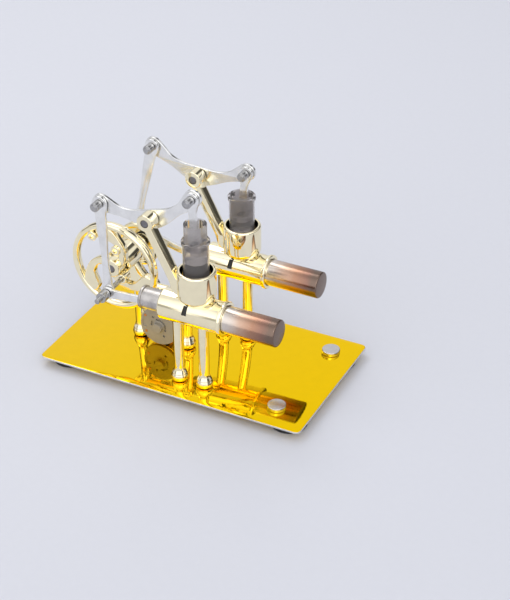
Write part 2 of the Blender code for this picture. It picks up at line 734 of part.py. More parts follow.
def build_crankshaft():
    centre = (SHAFT[0], 0, SHAFT[1])
    rod("crankshaft", SHAFT_RADIUS, HUB_FRONT, DISC_BACK - GAP, "dark_steel", "Y", centre, steps=20)
    front_pin = crank_pin_at("front")
    front_end = ENGINE_Y["front"] + LINK_LAYER[1] + GAP
    rod(
        "crank_pin_front", CRANK_PIN_RADIUS, front_end, CRANK_PIN_SEAT, "dark_steel", "Y",
        (front_pin[0], 0, front_pin[1]), steps=14,
    )
    bore_radius = SHAFT_RADIUS + SHAFT_CLEARANCE
    disc_profile = [
        (DISC_RADIUS - 0.5 * MM, DISC_BACK),
        (DISC_RADIUS, DISC_BACK - 0.5 * MM),
        (DISC_RADIUS, DISC_FRONT + 0.5 * MM),
        (DISC_RADIUS - 0.5 * MM, DISC_FRONT),
        (bore_radius, DISC_FRONT),
        (bore_radius, DISC_BACK),
    ]
    disc = turned("crank_disc", disc_profile, "pale_gold", "Y", centre, True)
    back_pin = crank_pin_at("back")
    back_place = (back_pin[0], 0, back_pin[1])
    back_start = DISC_BACK - 2.4 * MM
    pin_hole = rod(
        "disc_pin_hole", CRANK_PIN_RADIUS + 0.2 * MM, back_start - GAP, DISC_BACK + MM, "steel",
        "Y", back_place, steps=14,
    )
    cut(disc, pin_hole)
    back_end = ENGINE_Y["back"] + DISPLACER_LINK_LAYER[0] - GAP
    rod(
        "crank_pin_back", CRANK_PIN_RADIUS, back_start, back_end, "dark_steel", "Y", back_place,
        steps=14,
    )
    build_pulley("belt_pulley", CRANK_PULLEY, SHAFT_RADIUS, SHAFT, "steel")


def build_pulley(name, groove, bore, centre, finish):
    half, lip = PULLEY_WIDTH / 2, groove + 1.1 * MM
    profile = [
        (lip, half),
        (groove, 0.35 * MM),
        (groove, -0.35 * MM),
        (lip, -half),
        (bore + SHAFT_CLEARANCE, -half),
        (bore + SHAFT_CLEARANCE, half),
    ]
    turned(name, profile, finish, "Y", (centre[0], PULLEY_Y, centre[1]), True, 16)


def build_stand():
    centre = (SHAFT[0], 0, SHAFT[1])
    stand = rod(
        "shaft_stand", STAND_BOSS, STAND_FRONT, STAND_BACK, "pale_gold", "Y", centre, 0.5 * MM, 28
    )
    height = STAND_BAR_Z - PLATE_TOP
    legs = [leg(f"stand_leg_{index}", x, 0, height) for index, x in enumerate(STAND_LEGS)]
    bar_left, bar_right = STAND_LEGS[0] - STAND_BAR_REACH, STAND_LEGS[1] + STAND_BAR_REACH
    bar = rod(
        "stand_bar", STAND_BAR_RADIUS, bar_left, bar_right, "pale_gold", "X", (0, 0, STAND_BAR_Z),
        1 * MM, 17,
    )
    braces = []
    widths = [(0, 3.2 * MM), (1, 2.6 * MM)]
    for index, foot in enumerate(BRACE_FEET):
        run = (foot - SHAFT[0], STAND_BAR_Z - SHAFT[1])
        outline = strap(straight(hypot(*run), atan2(run[1], run[0])), widths, widths, 1)
        brace = flat(
            f"stand_brace_{index}", [outline], (-2.8 * MM, 2.8 * MM), "pale_gold", centre
        )
        braces.append(as_mesh(brace))
    join(stand, bar, *legs, *braces)
    way = rod(
        "shaft_way", SHAFT_RADIUS + 0.6 * MM, STAND_FRONT - MM, STAND_BACK + MM, "steel", "Y",
        centre, steps=16,
    )
    seat = rod(
        "bearing_seat", BEARING_RADIUS + GAP, STAND_FRONT - MM, STAND_FRONT + 4 * MM, "steel", "Y",
        centre, steps=24,
    )
    cut(stand, way, seat)
    bearing_front = STAND_FRONT + 0.6 * MM
    tube(
        "shaft_bearing", BEARING_RADIUS, SHAFT_RADIUS + GAP, bearing_front, bearing_front + 3 * MM,
        "dark_steel", "Y", centre, 24,
    )


def build_generator():
    centre = (GENERATOR[0], 0, GENERATOR[1])
    cap_back = GENERATOR_FRONT + CAP_THICKNESS
    bore = GENERATOR_SHAFT_RADIUS + 0.4 * MM
    case_profile = [
        (GENERATOR_RADIUS - 0.8 * MM, GENERATOR_BACK),
        (GENERATOR_RADIUS, GENERATOR_BACK - 0.8 * MM),
        (GENERATOR_RADIUS, cap_back + GAP),
        (bore, cap_back + GAP),
        (bore, GENERATOR_BACK),
    ]
    turned("generator_case", case_profile, "steel", "Y", centre, True, 32)
    boss_front = GENERATOR_FRONT - CAP_BOSS_HEIGHT
    edge = GENERATOR_RADIUS - 0.1 * MM
    cap_profile = [
        (0, cap_back),
        (edge, cap_back),
        (edge, GENERATOR_FRONT + 0.4 * MM),
        (edge - 0.4 * MM, GENERATOR_FRONT),
        (CAP_BOSS_RADIUS, GENERATOR_FRONT),
        (CAP_BOSS_RADIUS, boss_front + 0.4 * MM),
        (CAP_BOSS_RADIUS - 0.4 * MM, boss_front),
        (0, boss_front),
    ]
    cap = turned("generator_end_cap", cap_profile, "beige_plastic", "Y", centre, steps=32)
    span = (GENERATOR_FRONT - MM, GENERATOR_FRONT + 0.8 * MM)
    for index, (radius, angle) in enumerate(CAP_HOLES):
        place = (GENERATOR[0] + radius * cos(angle), 0, GENERATOR[1] + radius * sin(angle))
        name = f"cap_hole_{index}"
        cut(cap, rod(name, CAP_HOLE_RADIUS, span[0], span[1], "steel", "Y", place, steps=10))
    shaft_span = (cap_back + GAP, PULLEY_Y + 2.4 * MM)
    rod(
        "generator_shaft", GENERATOR_SHAFT_RADIUS, shaft_span[0], shaft_span[1], "dark_steel", "Y",
        centre, steps=10,
    )
    build_pulley("generator_pulley", GENERATOR_PULLEY, GENERATOR_SHAFT_RADIUS, GENERATOR, "steel")


def build_belt():
    """A round belt on the two outer tangents of the pulleys."""
    offset = GAP + BELT_RADIUS
    large, small = CRANK_PULLEY + offset, GENERATOR_PULLEY + offset
    run = (GENERATOR[0] - SHAFT[0], GENERATOR[1] - SHAFT[1])
    heading, lean = atan2(run[1], run[0]), acos((large - small) / hypot(*run))
    loop = arc(SHAFT, large, heading + lean, heading + 2 * pi - lean, 14)
    loop += arc(GENERATOR, small, heading - lean, heading + lean, 8)
    data = bpy.data.curves.new("drive_belt", "CURVE")
    data.dimensions = "3D"
    data.bevel_depth = BELT_RADIUS
    data.bevel_resolution = 1
    spline = data.splines.new("POLY")
    spline.points.add(len(loop) - 1)
    for point, (x, z) in zip(spline.points, loop):
        point.co = (x, PULLEY_Y, z, 1)
    spline.use_cyclic_u = True
    put("drive_belt", data, "rubber")


clear_scene()
PARTS = new_collection("stirling_engine_two_cylinder")
CUTTERS = new_collection("cutters")
build_plate()
for engine in ENGINE_Y:
    build_housing(engine)
    build_cylinders(engine)
    build_rocker(engine)
    build_connecting_link(engine)
    build_crank_nut(engine)
    build_piston(engine)
    build_displacer(engine)
build_flywheel()
build_crankshaft()
build_stand()
build_generator()
build_belt()
CUTTERS.hide_render = True
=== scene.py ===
"""The looks of a two-cylinder Stirling engine model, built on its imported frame."""

import json
from math import atan2, cos, hypot, pi, radians, sin

import bmesh
import bpy
from mathutils import Matrix, Vector


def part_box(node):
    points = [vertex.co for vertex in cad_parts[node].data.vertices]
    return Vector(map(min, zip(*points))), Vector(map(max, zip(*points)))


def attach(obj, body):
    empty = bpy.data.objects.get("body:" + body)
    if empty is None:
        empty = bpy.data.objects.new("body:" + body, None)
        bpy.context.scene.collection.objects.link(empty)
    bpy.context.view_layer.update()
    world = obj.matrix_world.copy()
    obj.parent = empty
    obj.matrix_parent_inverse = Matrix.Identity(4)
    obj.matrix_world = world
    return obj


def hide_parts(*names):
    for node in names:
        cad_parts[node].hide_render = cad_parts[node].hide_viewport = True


# Lengths are in metres, in the frame's own coordinates.
MM = 0.001
GAP = 0.3 * MM

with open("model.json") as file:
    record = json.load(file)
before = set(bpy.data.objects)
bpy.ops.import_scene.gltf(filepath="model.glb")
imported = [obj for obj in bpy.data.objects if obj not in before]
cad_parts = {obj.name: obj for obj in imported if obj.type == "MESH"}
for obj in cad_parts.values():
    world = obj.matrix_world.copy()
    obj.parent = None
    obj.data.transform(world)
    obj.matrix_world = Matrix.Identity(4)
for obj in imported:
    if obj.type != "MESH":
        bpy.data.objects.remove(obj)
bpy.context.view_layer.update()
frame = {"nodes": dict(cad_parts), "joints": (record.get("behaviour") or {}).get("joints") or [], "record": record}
JOINT = {joint["name"]: Vector(joint["pos_m"]) for joint in frame["joints"] if "pos_m" in joint}
PLATE_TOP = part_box("base_plate")[1].z
SHAFT = JOINT["crank_spin"]
GENERATOR = JOINT["generator_spin"]
SIDES = ("front", "back")
PIVOT = {side: JOINT[f"beam_{side}_rock"] for side in SIDES}
LEFT_PIN = {side: JOINT[f"connecting_link_{side}_swing"] for side in SIDES}
RIGHT_PIN = {side: JOINT[f"piston_link_{side}_swing"] for side in SIDES}
CROSSHEAD = {side: JOINT[f"displacer_link_{side}_swing"] for side in SIDES}


def centre_of(node):
    low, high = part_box(node)
    return (low + high) / 2


CRANK_PIN = {side: centre_of(f"crank_pin_{side}") for side in SIDES}
WRIST = {side: centre_of(f"wrist_pin_{side}") for side in SIDES}
CUP_X = centre_of("power_cylinder_front").x

# The camera's direction, distance and lens (in mm)
VIEW_AZIMUTH = radians(26.843)
VIEW_ELEVATION = radians(32.935)
VIEW_ROLL = radians(-0.304)
VIEW_DISTANCE = 0.8946
VIEW_TARGET = Vector((18.7 * MM, 26.7 * MM, PLATE_TOP + 23.7 * MM))
LENS = 95.7


# Materials


def shader_nodes(name, colour, metallic, roughness):
    made = bpy.data.materials.new(name)
    made.use_nodes = True
    tree = made.node_tree
    shader = tree.nodes["Principled BSDF"]
    shader.inputs["Base Color"].default_value = (*colour, 1)
    shader.inputs["Metallic"].default_value = metallic
    shader.inputs["Roughness"].default_value = roughness
    made.diffuse_color = (*colour, 1)
    return made, tree, shader


def node(tree, kind, **settings):
    made = tree.nodes.new(kind)
    for key, value in settings.items():
        setattr(made, key, value)
    return made


def noise(tree, scale, detail=4.0, stretch=(1, 1, 1)):
    """Noise over the object's own coordinates; scale is in features a metre."""
    place = node(tree, "ShaderNodeTexCoord")
    mapping = node(tree, "ShaderNodeMapping")
    mapping.inputs["Scale"].default_value = stretch
    tree.links.new(place.outputs["Object"], mapping.inputs["Vector"])
    made = node(tree, "ShaderNodeTexNoise")
    made.inputs["Scale"].default_value = scale
    made.inputs["Detail"].default_value = detail
    tree.links.new(mapping.outputs["Vector"], made.inputs["Vector"])
    return made.outputs["Fac"]


def ramp(tree, source, stops):
    made = node(tree, "ShaderNodeValToRGB")
    elements = made.color_ramp.elements
    while len(elements) < len(stops):
        elements.new(0.5)
    for element, (position, colour) in zip(elements, stops):
        element.position = position
        element.color = (*colour, 1)
    tree.links.new(source, made.inputs["Fac"])
    return made.outputs["Color"]


def span(tree, source, low, high):
    made = node(tree, "ShaderNodeMapRange")
    made.inputs["To Min"].default_value = low
    made.inputs["To Max"].default_value = high
    tree.links.new(source, made.inputs["Value"])
    return made.outputs["Result"]


def bump(tree, shader, height, distance):
    made = node(tree, "ShaderNodeBump")
    made.inputs["Distance"].default_value = distance
    tree.links.new(height, made.inputs["Height"])
    tree.links.new(made.outputs["Normal"], shader.inputs["Normal"])


def worn_metal(
    name, colour, roughness, variation, streak=(1, 1, 1), wave=0.004 * MM, grain=0.0, pitch=3200
):
    """Polished metal: patchy colour, wipe marks in its gloss, a faint waviness and a grain.

    wave and grain are heights, pitch is the grain's features a metre, streak stretches the marks.
    """
    made, tree, shader = shader_nodes(name, colour, 1.0, roughness)
    darker = tuple(c * (1 - variation) for c in colour)
    patches = ramp(tree, noise(tree, 180), [(0.35, darker), (0.65, colour)])
    tree.links.new(patches, shader.inputs["Base Color"])
    marks = noise(tree, 2200, 6.0, streak)
    tree.links.new(span(tree, marks, roughness * 0.55, roughness * 1.6), shader.inputs["Roughness"])
    height = noise(tree, 420, 2.0)
    if grain:
        both = node(tree, "ShaderNodeMath", operation="MULTIPLY_ADD")
        both.inputs[1].default_value = grain / wave
        tree.links.new(noise(tree, pitch, 3.0, streak), both.inputs[0])
        tree.links.new(height, both.inputs[2])
        height = both.outputs["Value"]
    bump(tree, shader, height, wave)
    return made


def hot_metal():
    """Thin steel cap: grey near the flange, then straw, copper and purple towards its hot end."""
    made, tree, shader = shader_nodes("hot_steel", (0.6, 0.5, 0.45), 1.0, 0.2)
    place = node(tree, "ShaderNodeTexCoord")
    parts = node(tree, "ShaderNodeSeparateXYZ")
    tree.links.new(place.outputs["Object"], parts.inputs["Vector"])
    low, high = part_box("hot_cap_front")
    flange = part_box("housing_front")[1].x
    along = node(tree, "ShaderNodeMapRange")
    along.inputs["From Min"].default_value = flange
    along.inputs["From Max"].default_value = high.x
    tree.links.new(parts.outputs["X"], along.inputs["Value"])
    wander = node(tree, "ShaderNodeMath", operation="MULTIPLY_ADD")
    wander.inputs[1].default_value = 0.22
    tree.links.new(noise(tree, 130), wander.inputs[0])
    tree.links.new(along.outputs["Result"], wander.inputs[2])
    tint = ramp(
        tree,
        wander.outputs["Value"],
        [
            (0.0, (0.72, 0.68, 0.64)),
            (0.24, (0.66, 0.58, 0.51)),
            (0.46, (0.55, 0.37, 0.27)),
            (0.68, (0.42, 0.23, 0.15)),
            (0.88, (0.29, 0.16, 0.12)),
            (1.0, (0.20, 0.14, 0.11)),
        ],
    )
    tree.links.new(tint, shader.inputs["Base Color"])
    marks = noise(tree, 1500, 5.0, (0.15, 1, 1))
    tree.links.new(span(tree, marks, 0.12, 0.34), shader.inputs["Roughness"])
    bump(tree, shader, noise(tree, 500, 3.0, (0.2, 1, 1)), 0.006 * MM)
    return made


def smoky(name, colour, roughness, transmission):
    """Smoke-grey glass with faint drawing lines and a dusty film."""
    streak = (1, 1, 0.15)
    made, tree, shader = shader_nodes(name, colour, 0.0, roughness)
    shader.inputs["Transmission Weight"].default_value = transmission
    shader.inputs["IOR"].default_value = 1.18
    darker = tuple(c * 0.84 for c in colour)
    tint = ramp(tree, noise(tree, 320, 4.0, streak), [(0.32, darker), (0.68, colour)])
    tree.links.new(tint, shader.inputs["Base Color"])
    film = noise(tree, 900, 5.0)
    tree.links.new(span(tree, film, roughness * 0.6, roughness * 1.5), shader.inputs["Roughness"])
    bump(tree, shader, noise(tree, 300, 2.0, streak), 0.01 * MM)
    return made


def plain(name, colour, roughness, variation, grain, depth):
    """A non-metal: patchy colour, uneven gloss and a fine grain."""
    made, tree, shader = shader_nodes(name, colour, 0.0, roughness)
    darker = tuple(c * (1 - variation) for c in colour)
    tree.links.new(
        ramp(tree, noise(tree, 240), [(0.3, darker), (0.7, colour)]), shader.inputs["Base Color"]
    )
    fine = noise(tree, grain, 5.0)
    tree.links.new(span(tree, fine, roughness * 0.75, roughness * 1.25), shader.inputs["Roughness"])
    bump(tree, shader, fine, depth)
    return made


def make_finishes():
    return {
        "plate_gold": worn_metal(
            "plate_gold", (1.0, 0.64, 0.0), 0.03, 0.02,
            wave=0.0008 * MM, grain=0.003 * MM, pitch=1300,
        ),
        "cut_edge": worn_metal("cut_edge", (0.80, 0.80, 0.80), 0.25, 0.08),
        "pale_gold": worn_metal("pale_gold", (1.0, 0.905, 0.635), 0.05, 0.05, wave=0.002 * MM),
        # Black for the dark patch on each tube, a painted reflection of something dark
        "painted_reflection_black": plain("painted_reflection_black", (0.012, 0.011, 0.008), 0.4, 0.2, 900, 0.004 * MM),
        "rubber": plain("rubber", (0.018, 0.018, 0.02), 0.62, 0.3, 2600, 0.02 * MM),
        "nickel": worn_metal("nickel", (0.62, 0.60, 0.585), 0.2, 0.08, grain=0.004 * MM),
        "steel": worn_metal(
            "steel", (0.92, 0.915, 0.895), 0.2, 0.13, (1, 1, 0.12), grain=0.002 * MM
        ),
        "dark_steel": worn_metal("dark_steel", (0.24, 0.23, 0.235), 0.3, 0.18),
        "pin_steel": worn_metal("pin_steel", (0.46, 0.455, 0.45), 0.24, 0.14),
        "hot_steel": hot_metal(),
        "smoky_glass": smoky("smoky_glass", (0.76, 0.73, 0.715), 0.08, 0.92),
        "frosted_grey": worn_metal(
            "frosted_grey", (0.56, 0.53, 0.505), 0.3, 0.34, (1, 0.15, 0.15)
        ),
        "graphite": smoky("graphite", (0.76, 0.735, 0.725), 0.1, 0.85),
        "beige_plastic": plain("beige_plastic", (0.36, 0.325, 0.265), 0.4, 0.1, 1800, 0.01 * MM),
        "copper": worn_metal("copper", (0.55, 0.27, 0.16), 0.3, 0.15),
    }


FINISH = make_finishes()
SLOT_OF = {part["node"]: part["material_slot"] for part in frame["record"]["subparts"]}
BODY_OF = {
    name: body for body, names in frame["record"]["behaviour"]["bodies"].items() for name in names
}


# Shapes


def arc(centre, radius, start, end, count):
    """Points on an arc, both ends included; angles in radians."""
    return [
        (
            centre[0] + radius * cos(start + (end - start) * i / count),
            centre[1] + radius * sin(start + (end - start) * i / count),
        )
        for i in range(count + 1)
    ]


def circle(centre, radius, count=48):
    return arc(centre, radius, 0, 2 * pi, count)[:-1]


def softened(profile, radius, closed=False, steps=4):
    """The profile with its corners rounded, as far as its edges' lengths allow."""
    points = [Vector(p) for p in profile]
    count = len(points)
    made = []
    for i, corner in enumerate(points):
        if not closed and i in (0, count - 1):
            made.append(corner)
            continue
        before = points[i - 1] - corner
        after = points[(i + 1) % count] - corner
        reach = min(radius, 0.45 * before.length, 0.45 * after.length)
        turn = before.normalized().dot(after.normalized())
        if reach < 1e-6 or turn < -0.995:
            made.append(corner)
            continue
        a = corner + before.normalized() * reach
        b = corner + after.normalized() * reach
        made += [
            a * (1 - t) ** 2 + corner * 2 * t * (1 - t) + b * t * t
            for t in (k / steps for k in range(steps + 1))
        ]
    return [tuple(p) for p in made]


# Turns the Z axis onto the named axis.
AXES = {
    "X": Matrix(((0, 0, 1), (0, 1, 0), (-1, 0, 0))),
    "Y": Matrix(((1, 0, 0), (0, 0, 1), (0, -1, 0))),
    "Z": Matrix.Identity(3),
}


def mesh_object(name, work):
    """An object made of the bmesh, which is freed."""
    bmesh.ops.recalc_face_normals(work, faces=work.faces)
    mesh = bpy.data.meshes.new(name)
    work.to_mesh(mesh)
    work.free()
    made = bpy.data.objects.new(name, mesh)
    bpy.context.scene.collection.objects.link(made)
    return made


def turned(name, profile, axis, origin, closed=False, round_off=0.3 * MM, steps=96):
    """A turned solid in world coordinates; the profile is (radius, place along the axis)."""
    turn, place = AXES[axis], Vector(origin)
    work = bmesh.new()
    rings = []
    for radius, along in softened(profile, round_off, closed):
        if radius < 1e-7:
            rings.append([work.verts.new(place + turn @ Vector((0, 0, along)))])
            continue
        rings.append([
            work.verts.new(
                place + turn @ Vector((radius * cos(angle), radius * sin(angle), along))
            )
            for angle in (2 * pi * k / steps for k in range(steps))
        ])
    pairs = list(zip(rings, rings[1:])) + ([(rings[-1], rings[0])] if closed else [])
    for first, second in pairs:
        for k in range(steps):
            following = (k + 1) % steps
            corners = [first[k % len(first)], first[following % len(first)]]
            corners += [second[following % len(second)], second[k % len(second)]]
            unique = list(dict.fromkeys(corners))
            if len(unique) > 2:
                work.faces.new(unique)
    return mesh_object(name, work)


def rod(name, radius, start, end, axis, origin, round_off=0.3 * MM, steps=64):
    """A cylinder from start to end along the axis through origin."""
    profile = [(0, end), (radius, end), (radius, start), (0, start)]
    return turned(name, profile, axis, origin, False, round_off, steps)


def evaluated_copy(name, source):
    """A new object in world coordinates with the source's final mesh; the source is removed."""
    bpy.context.view_layer.update()
    graph = bpy.context.evaluated_depsgraph_get()
    mesh = bpy.data.meshes.new_from_object(source.evaluated_get(graph))
    mesh.transform(source.matrix_world)
    bpy.data.objects.remove(source, do_unlink=True)
    made = bpy.data.objects.new(name, mesh)
    bpy.context.scene.collection.objects.link(made)
    return made


def slab(name, loops, layer, origin, edge=0.2 * MM, turn=(pi / 2, 0, 0)):
    """A flat plate with softened edges; loops are its outline, then its holes, around origin.

    It lies in the XZ plane with layer as its Y limits. With no turn it lies in the XY plane with
    layer as its Z limits, and with another turn its layer has to be even about the origin.
    """
    data = bpy.data.curves.new(name, "CURVE")
    data.dimensions = "2D"
    data.fill_mode = "BOTH"
    data.extrude = (layer[1] - layer[0]) / 2 - edge
    data.bevel_depth = edge
    data.bevel_resolution = 2
    data.offset = -edge
    for loop in loops:
        spline = data.splines.new("POLY")
        spline.points.add(len(loop) - 1)
        for point, (across, up) in zip(spline.points, loop):
            point.co = (across, up, 0, 1)
        spline.use_cyclic_u = True
    made = bpy.data.objects.new(name, data)
    middle = (layer[0] + layer[1]) / 2
    shift = Vector((0, middle, 0)) if turn[0] else Vector((0, 0, middle))
    made.location = Vector(origin) + shift
    made.rotation_euler = turn
    bpy.context.scene.collection.objects.link(made)
    made = evaluated_copy(name, made)
    work = bmesh.new()
    work.from_mesh(made.data)
    bmesh.ops.remove_doubles(work, verts=work.verts, dist=2e-6)
    bmesh.ops.recalc_face_normals(work, faces=work.faces)
    work.to_mesh(made.data)
    work.free()
    return made


def eased(stops, at):
    """Smooth value at a place along (place, value) stops."""
    for (a, low), (b, high) in zip(stops, stops[1:]):
        if at <= b:
            t = (at - a) / (b - a)
            t = t * t * (3 - 2 * t)
            return low + (high - low) * t
    return stops[-1][1]


def strap(path, left_stops, right_stops, count=48, cap=14):
    """Outline of a flat bar with round ends along a path function of 0 to 1.

    The stops are (place, half width) pairs for the left and right sides of the path.
    """
    left, right = [], []
    for i in range(count + 1):
        s = i / count
        here, ahead = path(max(s - 0.002, 0)), path(min(s + 0.002, 1))
        tangent = Vector((ahead[0] - here[0], ahead[1] - here[1])).normalized()
        normal = Vector((-tangent.y, tangent.x))
        middle = Vector(path(s))
        left.append(middle + normal * eased(left_stops, s))
        right.append(middle - normal * eased(right_stops, s))
    ends = []
    for s, side in ((1, left[-1]), (0, right[0])):
        centre = Vector(path(s))
        begin = side - centre
        ends.append([centre + Matrix.Rotation(-pi * k / cap, 2) @ begin for k in range(1, cap)])
    return [tuple(p) for p in left + ends[0] + right[::-1] + ends[1]]


def line(run):
    return lambda s: (run[0] * s, run[1] * s)


def round_path(radius, start, sweep):
    return lambda s: (radius * cos(start + sweep * s), radius * sin(start + sweep * s))


def combined(name, base, adds=(), cuts=()):
    """The base with solids joined to it and cut from it; those solids are removed."""
    for others, operation in ((adds, "UNION"), (cuts, "DIFFERENCE")):
        for other in others:
            modifier = base.modifiers.new(operation, "BOOLEAN")
            modifier.operation = operation
            modifier.solver = "EXACT"
            modifier.object = other
    made = evaluated_copy(name, base)
    for other in (*adds, *cuts):
        bpy.data.objects.remove(other, do_unlink=True)
    return made


SHARP_ANGLE = radians(38)


def show(piece, *nodes, finish=None):
    """Gives a finished piece its material and shading, and puts it in its CAD nodes' place."""
    first = nodes[0]
    mesh = piece.data
    mesh.materials.clear()
    mesh.materials.append(FINISH[finish or SLOT_OF[first]])
    mesh.shade_smooth()
    mesh.set_sharp_from_angle(angle=SHARP_ANGLE)
    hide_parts(*nodes)
    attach(piece, BODY_OF[first])
    return piece


# Stage


def make_camera():
    data = bpy.data.cameras.new("camera")
    data.lens = LENS
    data.clip_start = 0.01
    camera = bpy.data.objects.new("camera", data)
    bpy.context.scene.collection.objects.link(camera)
    back = Vector((
        sin(VIEW_AZIMUTH) * cos(VIEW_ELEVATION),
        -cos(VIEW_AZIMUTH) * cos(VIEW_ELEVATION),
        sin(VIEW_ELEVATION),
    ))
    right = Vector((cos(VIEW_AZIMUTH), sin(VIEW_AZIMUTH), 0))
    turn = Matrix((right, back.cross(right), back)).transposed().to_4x4()
    place = Matrix.Translation(VIEW_TARGET + back * VIEW_DISTANCE)
    camera.matrix_world = place @ turn @ Matrix.Rotation(VIEW_ROLL, 4, "Z")
    bpy.context.scene.camera = camera


def softbox(name, place, target, size, power):
    data = bpy.data.lights.new(name, "AREA")
    data.shape = "RECTANGLE"
    data.size, data.size_y = size
    data.energy = power
    made = bpy.data.objects.new(name, data)
    made.location = place
    made.rotation_euler = (Vector(place) - Vector(target)).to_track_quat("Z", "Y").to_euler()
    bpy.context.scene.collection.objects.link(made)


# Where the dark room shows in the tent: ranges as (low, high, softness) of a direction's share
# across, up and along the camera's heading, then how dark.
DARK_PATCHES = (
    ((0.62, 0.985, 0.04), (-1, 0.34, 0.05), None, 0.95),
    ((-0.985, -0.8, 0.03), (-1, 0.22, 0.05), None, 0.7),
    ((0.3, 0.62, 0.05), (0.2, 0.9, 0.05), (0.3, 1, 0.02), 0.9),
    ((-0.9, -0.35, 0.05), (0.2, 0.9, 0.05), (0.3, 1, 0.02), 0.9),
    ((-0.55, 0.45, 0.05), (-1, 0.2, 0.03), (0.5, 1, 0.02), 0.25),
)
TENT = (0.955, 0.965, 1.0, 1)
ROOM = (0.02, 0.019, 0.018, 1)
TENT_STRENGTH = 0.9
FRONT_LIFT = 0.62


def level(tree, source, low, high, soft):
    """1 where the source lies between low and high, with soft edges."""
    rise = node(tree, "ShaderNodeMapRange")
    rise.inputs["From Min"].default_value = low - soft
    rise.inputs["From Max"].default_value = low + soft
    fall = node(tree, "ShaderNodeMapRange")
    fall.inputs["From Min"].default_value = high + soft
    fall.inputs["From Max"].default_value = high - soft
    both = node(tree, "ShaderNodeMath", operation="MULTIPLY")
    for slot, part in enumerate((rise, fall)):
        tree.links.new(source, part.inputs["Value"])
        tree.links.new(part.outputs["Result"], both.inputs[slot])
    return both.outputs["Value"]


def product(tree, first, second):
    """The product of a socket and another socket or a number."""
    made = node(tree, "ShaderNodeMath", operation="MULTIPLY")
    tree.links.new(first, made.inputs[0])
    if isinstance(second, float):
        made.inputs[1].default_value = second
    else:
        tree.links.new(second, made.inputs[1])
    return made.outputs["Value"]


def make_world():
    """A bright tent, brightest behind the camera, with the dark room showing at its sides."""
    world = bpy.data.worlds.new("tent")
    world.use_nodes = True
    tree = world.node_tree
    place = node(tree, "ShaderNodeTexCoord")
    mapping = node(tree, "ShaderNodeMapping")
    mapping.inputs["Rotation"].default_value = (0, 0, -VIEW_AZIMUTH)
    tree.links.new(place.outputs["Generated"], mapping.inputs["Vector"])
    parts = node(tree, "ShaderNodeSeparateXYZ")
    tree.links.new(mapping.outputs["Vector"], parts.inputs["Vector"])
    across, along, up = (parts.outputs[axis] for axis in "XYZ")
    colour = None
    for *ranges, darkness in DARK_PATCHES:
        pairs = zip((across, up, along), ranges)
        first, second, *rest = [level(tree, share, *limits) for share, limits in pairs if limits]
        amount = product(tree, first, second)
        for factor in (*rest, darkness):
            amount = product(tree, amount, factor)
        mix = node(tree, "ShaderNodeMix", data_type="RGBA")
        mix.inputs["A"].default_value = TENT
        if colour:
            tree.links.new(colour, mix.inputs["A"])
        mix.inputs["B"].default_value = ROOM
        tree.links.new(amount, mix.inputs["Factor"])
        colour = mix.outputs["Result"]
    lift = node(tree, "ShaderNodeMath", operation="MULTIPLY_ADD")
    lift.inputs[1].default_value = FRONT_LIFT
    lift.inputs[2].default_value = TENT_STRENGTH
    tree.links.new(level(tree, along, -1.1, -0.25, 0.2), lift.inputs[0])
    background = tree.nodes["Background"]
    tree.links.new(lift.outputs["Value"], background.inputs["Strength"])
    tree.links.new(colour, background.inputs["Color"])
    bpy.context.scene.world = world


def make_stage():
    work = bmesh.new()
    bmesh.ops.create_grid(work, x_segments=8, y_segments=8, size=4)
    floor = mesh_object("floor", work)
    floor.data.materials.append(plain("paper", (0.632, 0.64, 0.688), 0.75, 0.012, 900, 0.01 * MM))
    make_world()
    softbox("key", (-0.5, 0.25, 0.95), (0, 0, 0.04), (0.6, 0.6), 2.5)
    softbox("fill", (0.5, -0.8, 0.8), (0, 0, 0.04), (0.5, 0.5), 1.2)
    bpy.context.scene.view_settings.view_transform = "Standard"


# Plate, feet and magnets


PLATE_CORNER = 3 * MM
BARE_EDGE = 0.14 * MM


def plate_outline(half_x, half_y, inset):
    loop = []
    for index, (sx, sy) in enumerate(((1, 1), (-1, 1), (-1, -1), (1, -1))):
        centre = (sx * (half_x - PLATE_CORNER), sy * (half_y - PLATE_CORNER))
        start = index * pi / 2
        loop += arc(centre, PLATE_CORNER - inset, start, start + pi / 2, 12)
    return loop


def make_plate():
    """The mirror plate, with the bare metal of its cut edge as a thin band around it."""
    low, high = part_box("base_plate")
    origin, flat = (0, 0, 0), (0, 0, 0)
    outline = plate_outline(high.x, high.y, BARE_EDGE)
    plate = slab("plate", [outline], (low.z, high.z), origin, 0.1 * MM, flat)
    show(plate, "base_plate")
    loops = [plate_outline(high.x, high.y, 0), plate_outline(high.x, high.y, 2 * MM)]
    layer = (low.z + 0.12 * MM, high.z - 0.12 * MM)
    band = slab("plate_edge", loops, layer, origin, 0.08 * MM, flat)
    show(band, "base_plate", finish="cut_edge")


def make_foot(end, side):
    """A rubber foot with a shallow hollow in its sole."""
    name = f"rubber_foot_{end}_{side}"
    low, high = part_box(name)
    radius = (high.x - low.x) / 2
    middle = (low + high) / 2
    roof = low.z + 0.6 * MM
    profile = [(0, high.z), (radius, high.z), (radius, low.z), (radius * 0.45, low.z)]
    profile += [(radius * 0.38, roof), (0, roof)]
    origin = (middle.x, middle.y, 0)
    show(turned(f"foot_{end}_{side}", profile, "Z", origin, round_off=1.1 * MM), name)


def make_magnet(side):
    name = f"magnet_{side}"
    low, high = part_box(name)
    middle = (low + high) / 2
    radius = (high.x - low.x) / 2
    origin = (middle.x, middle.y, 0)
    disc = rod(f"disc_magnet_{side}", radius, low.z, high.z, "Z", origin, 0.35 * MM, 96)
    show(disc, name)


# Engines

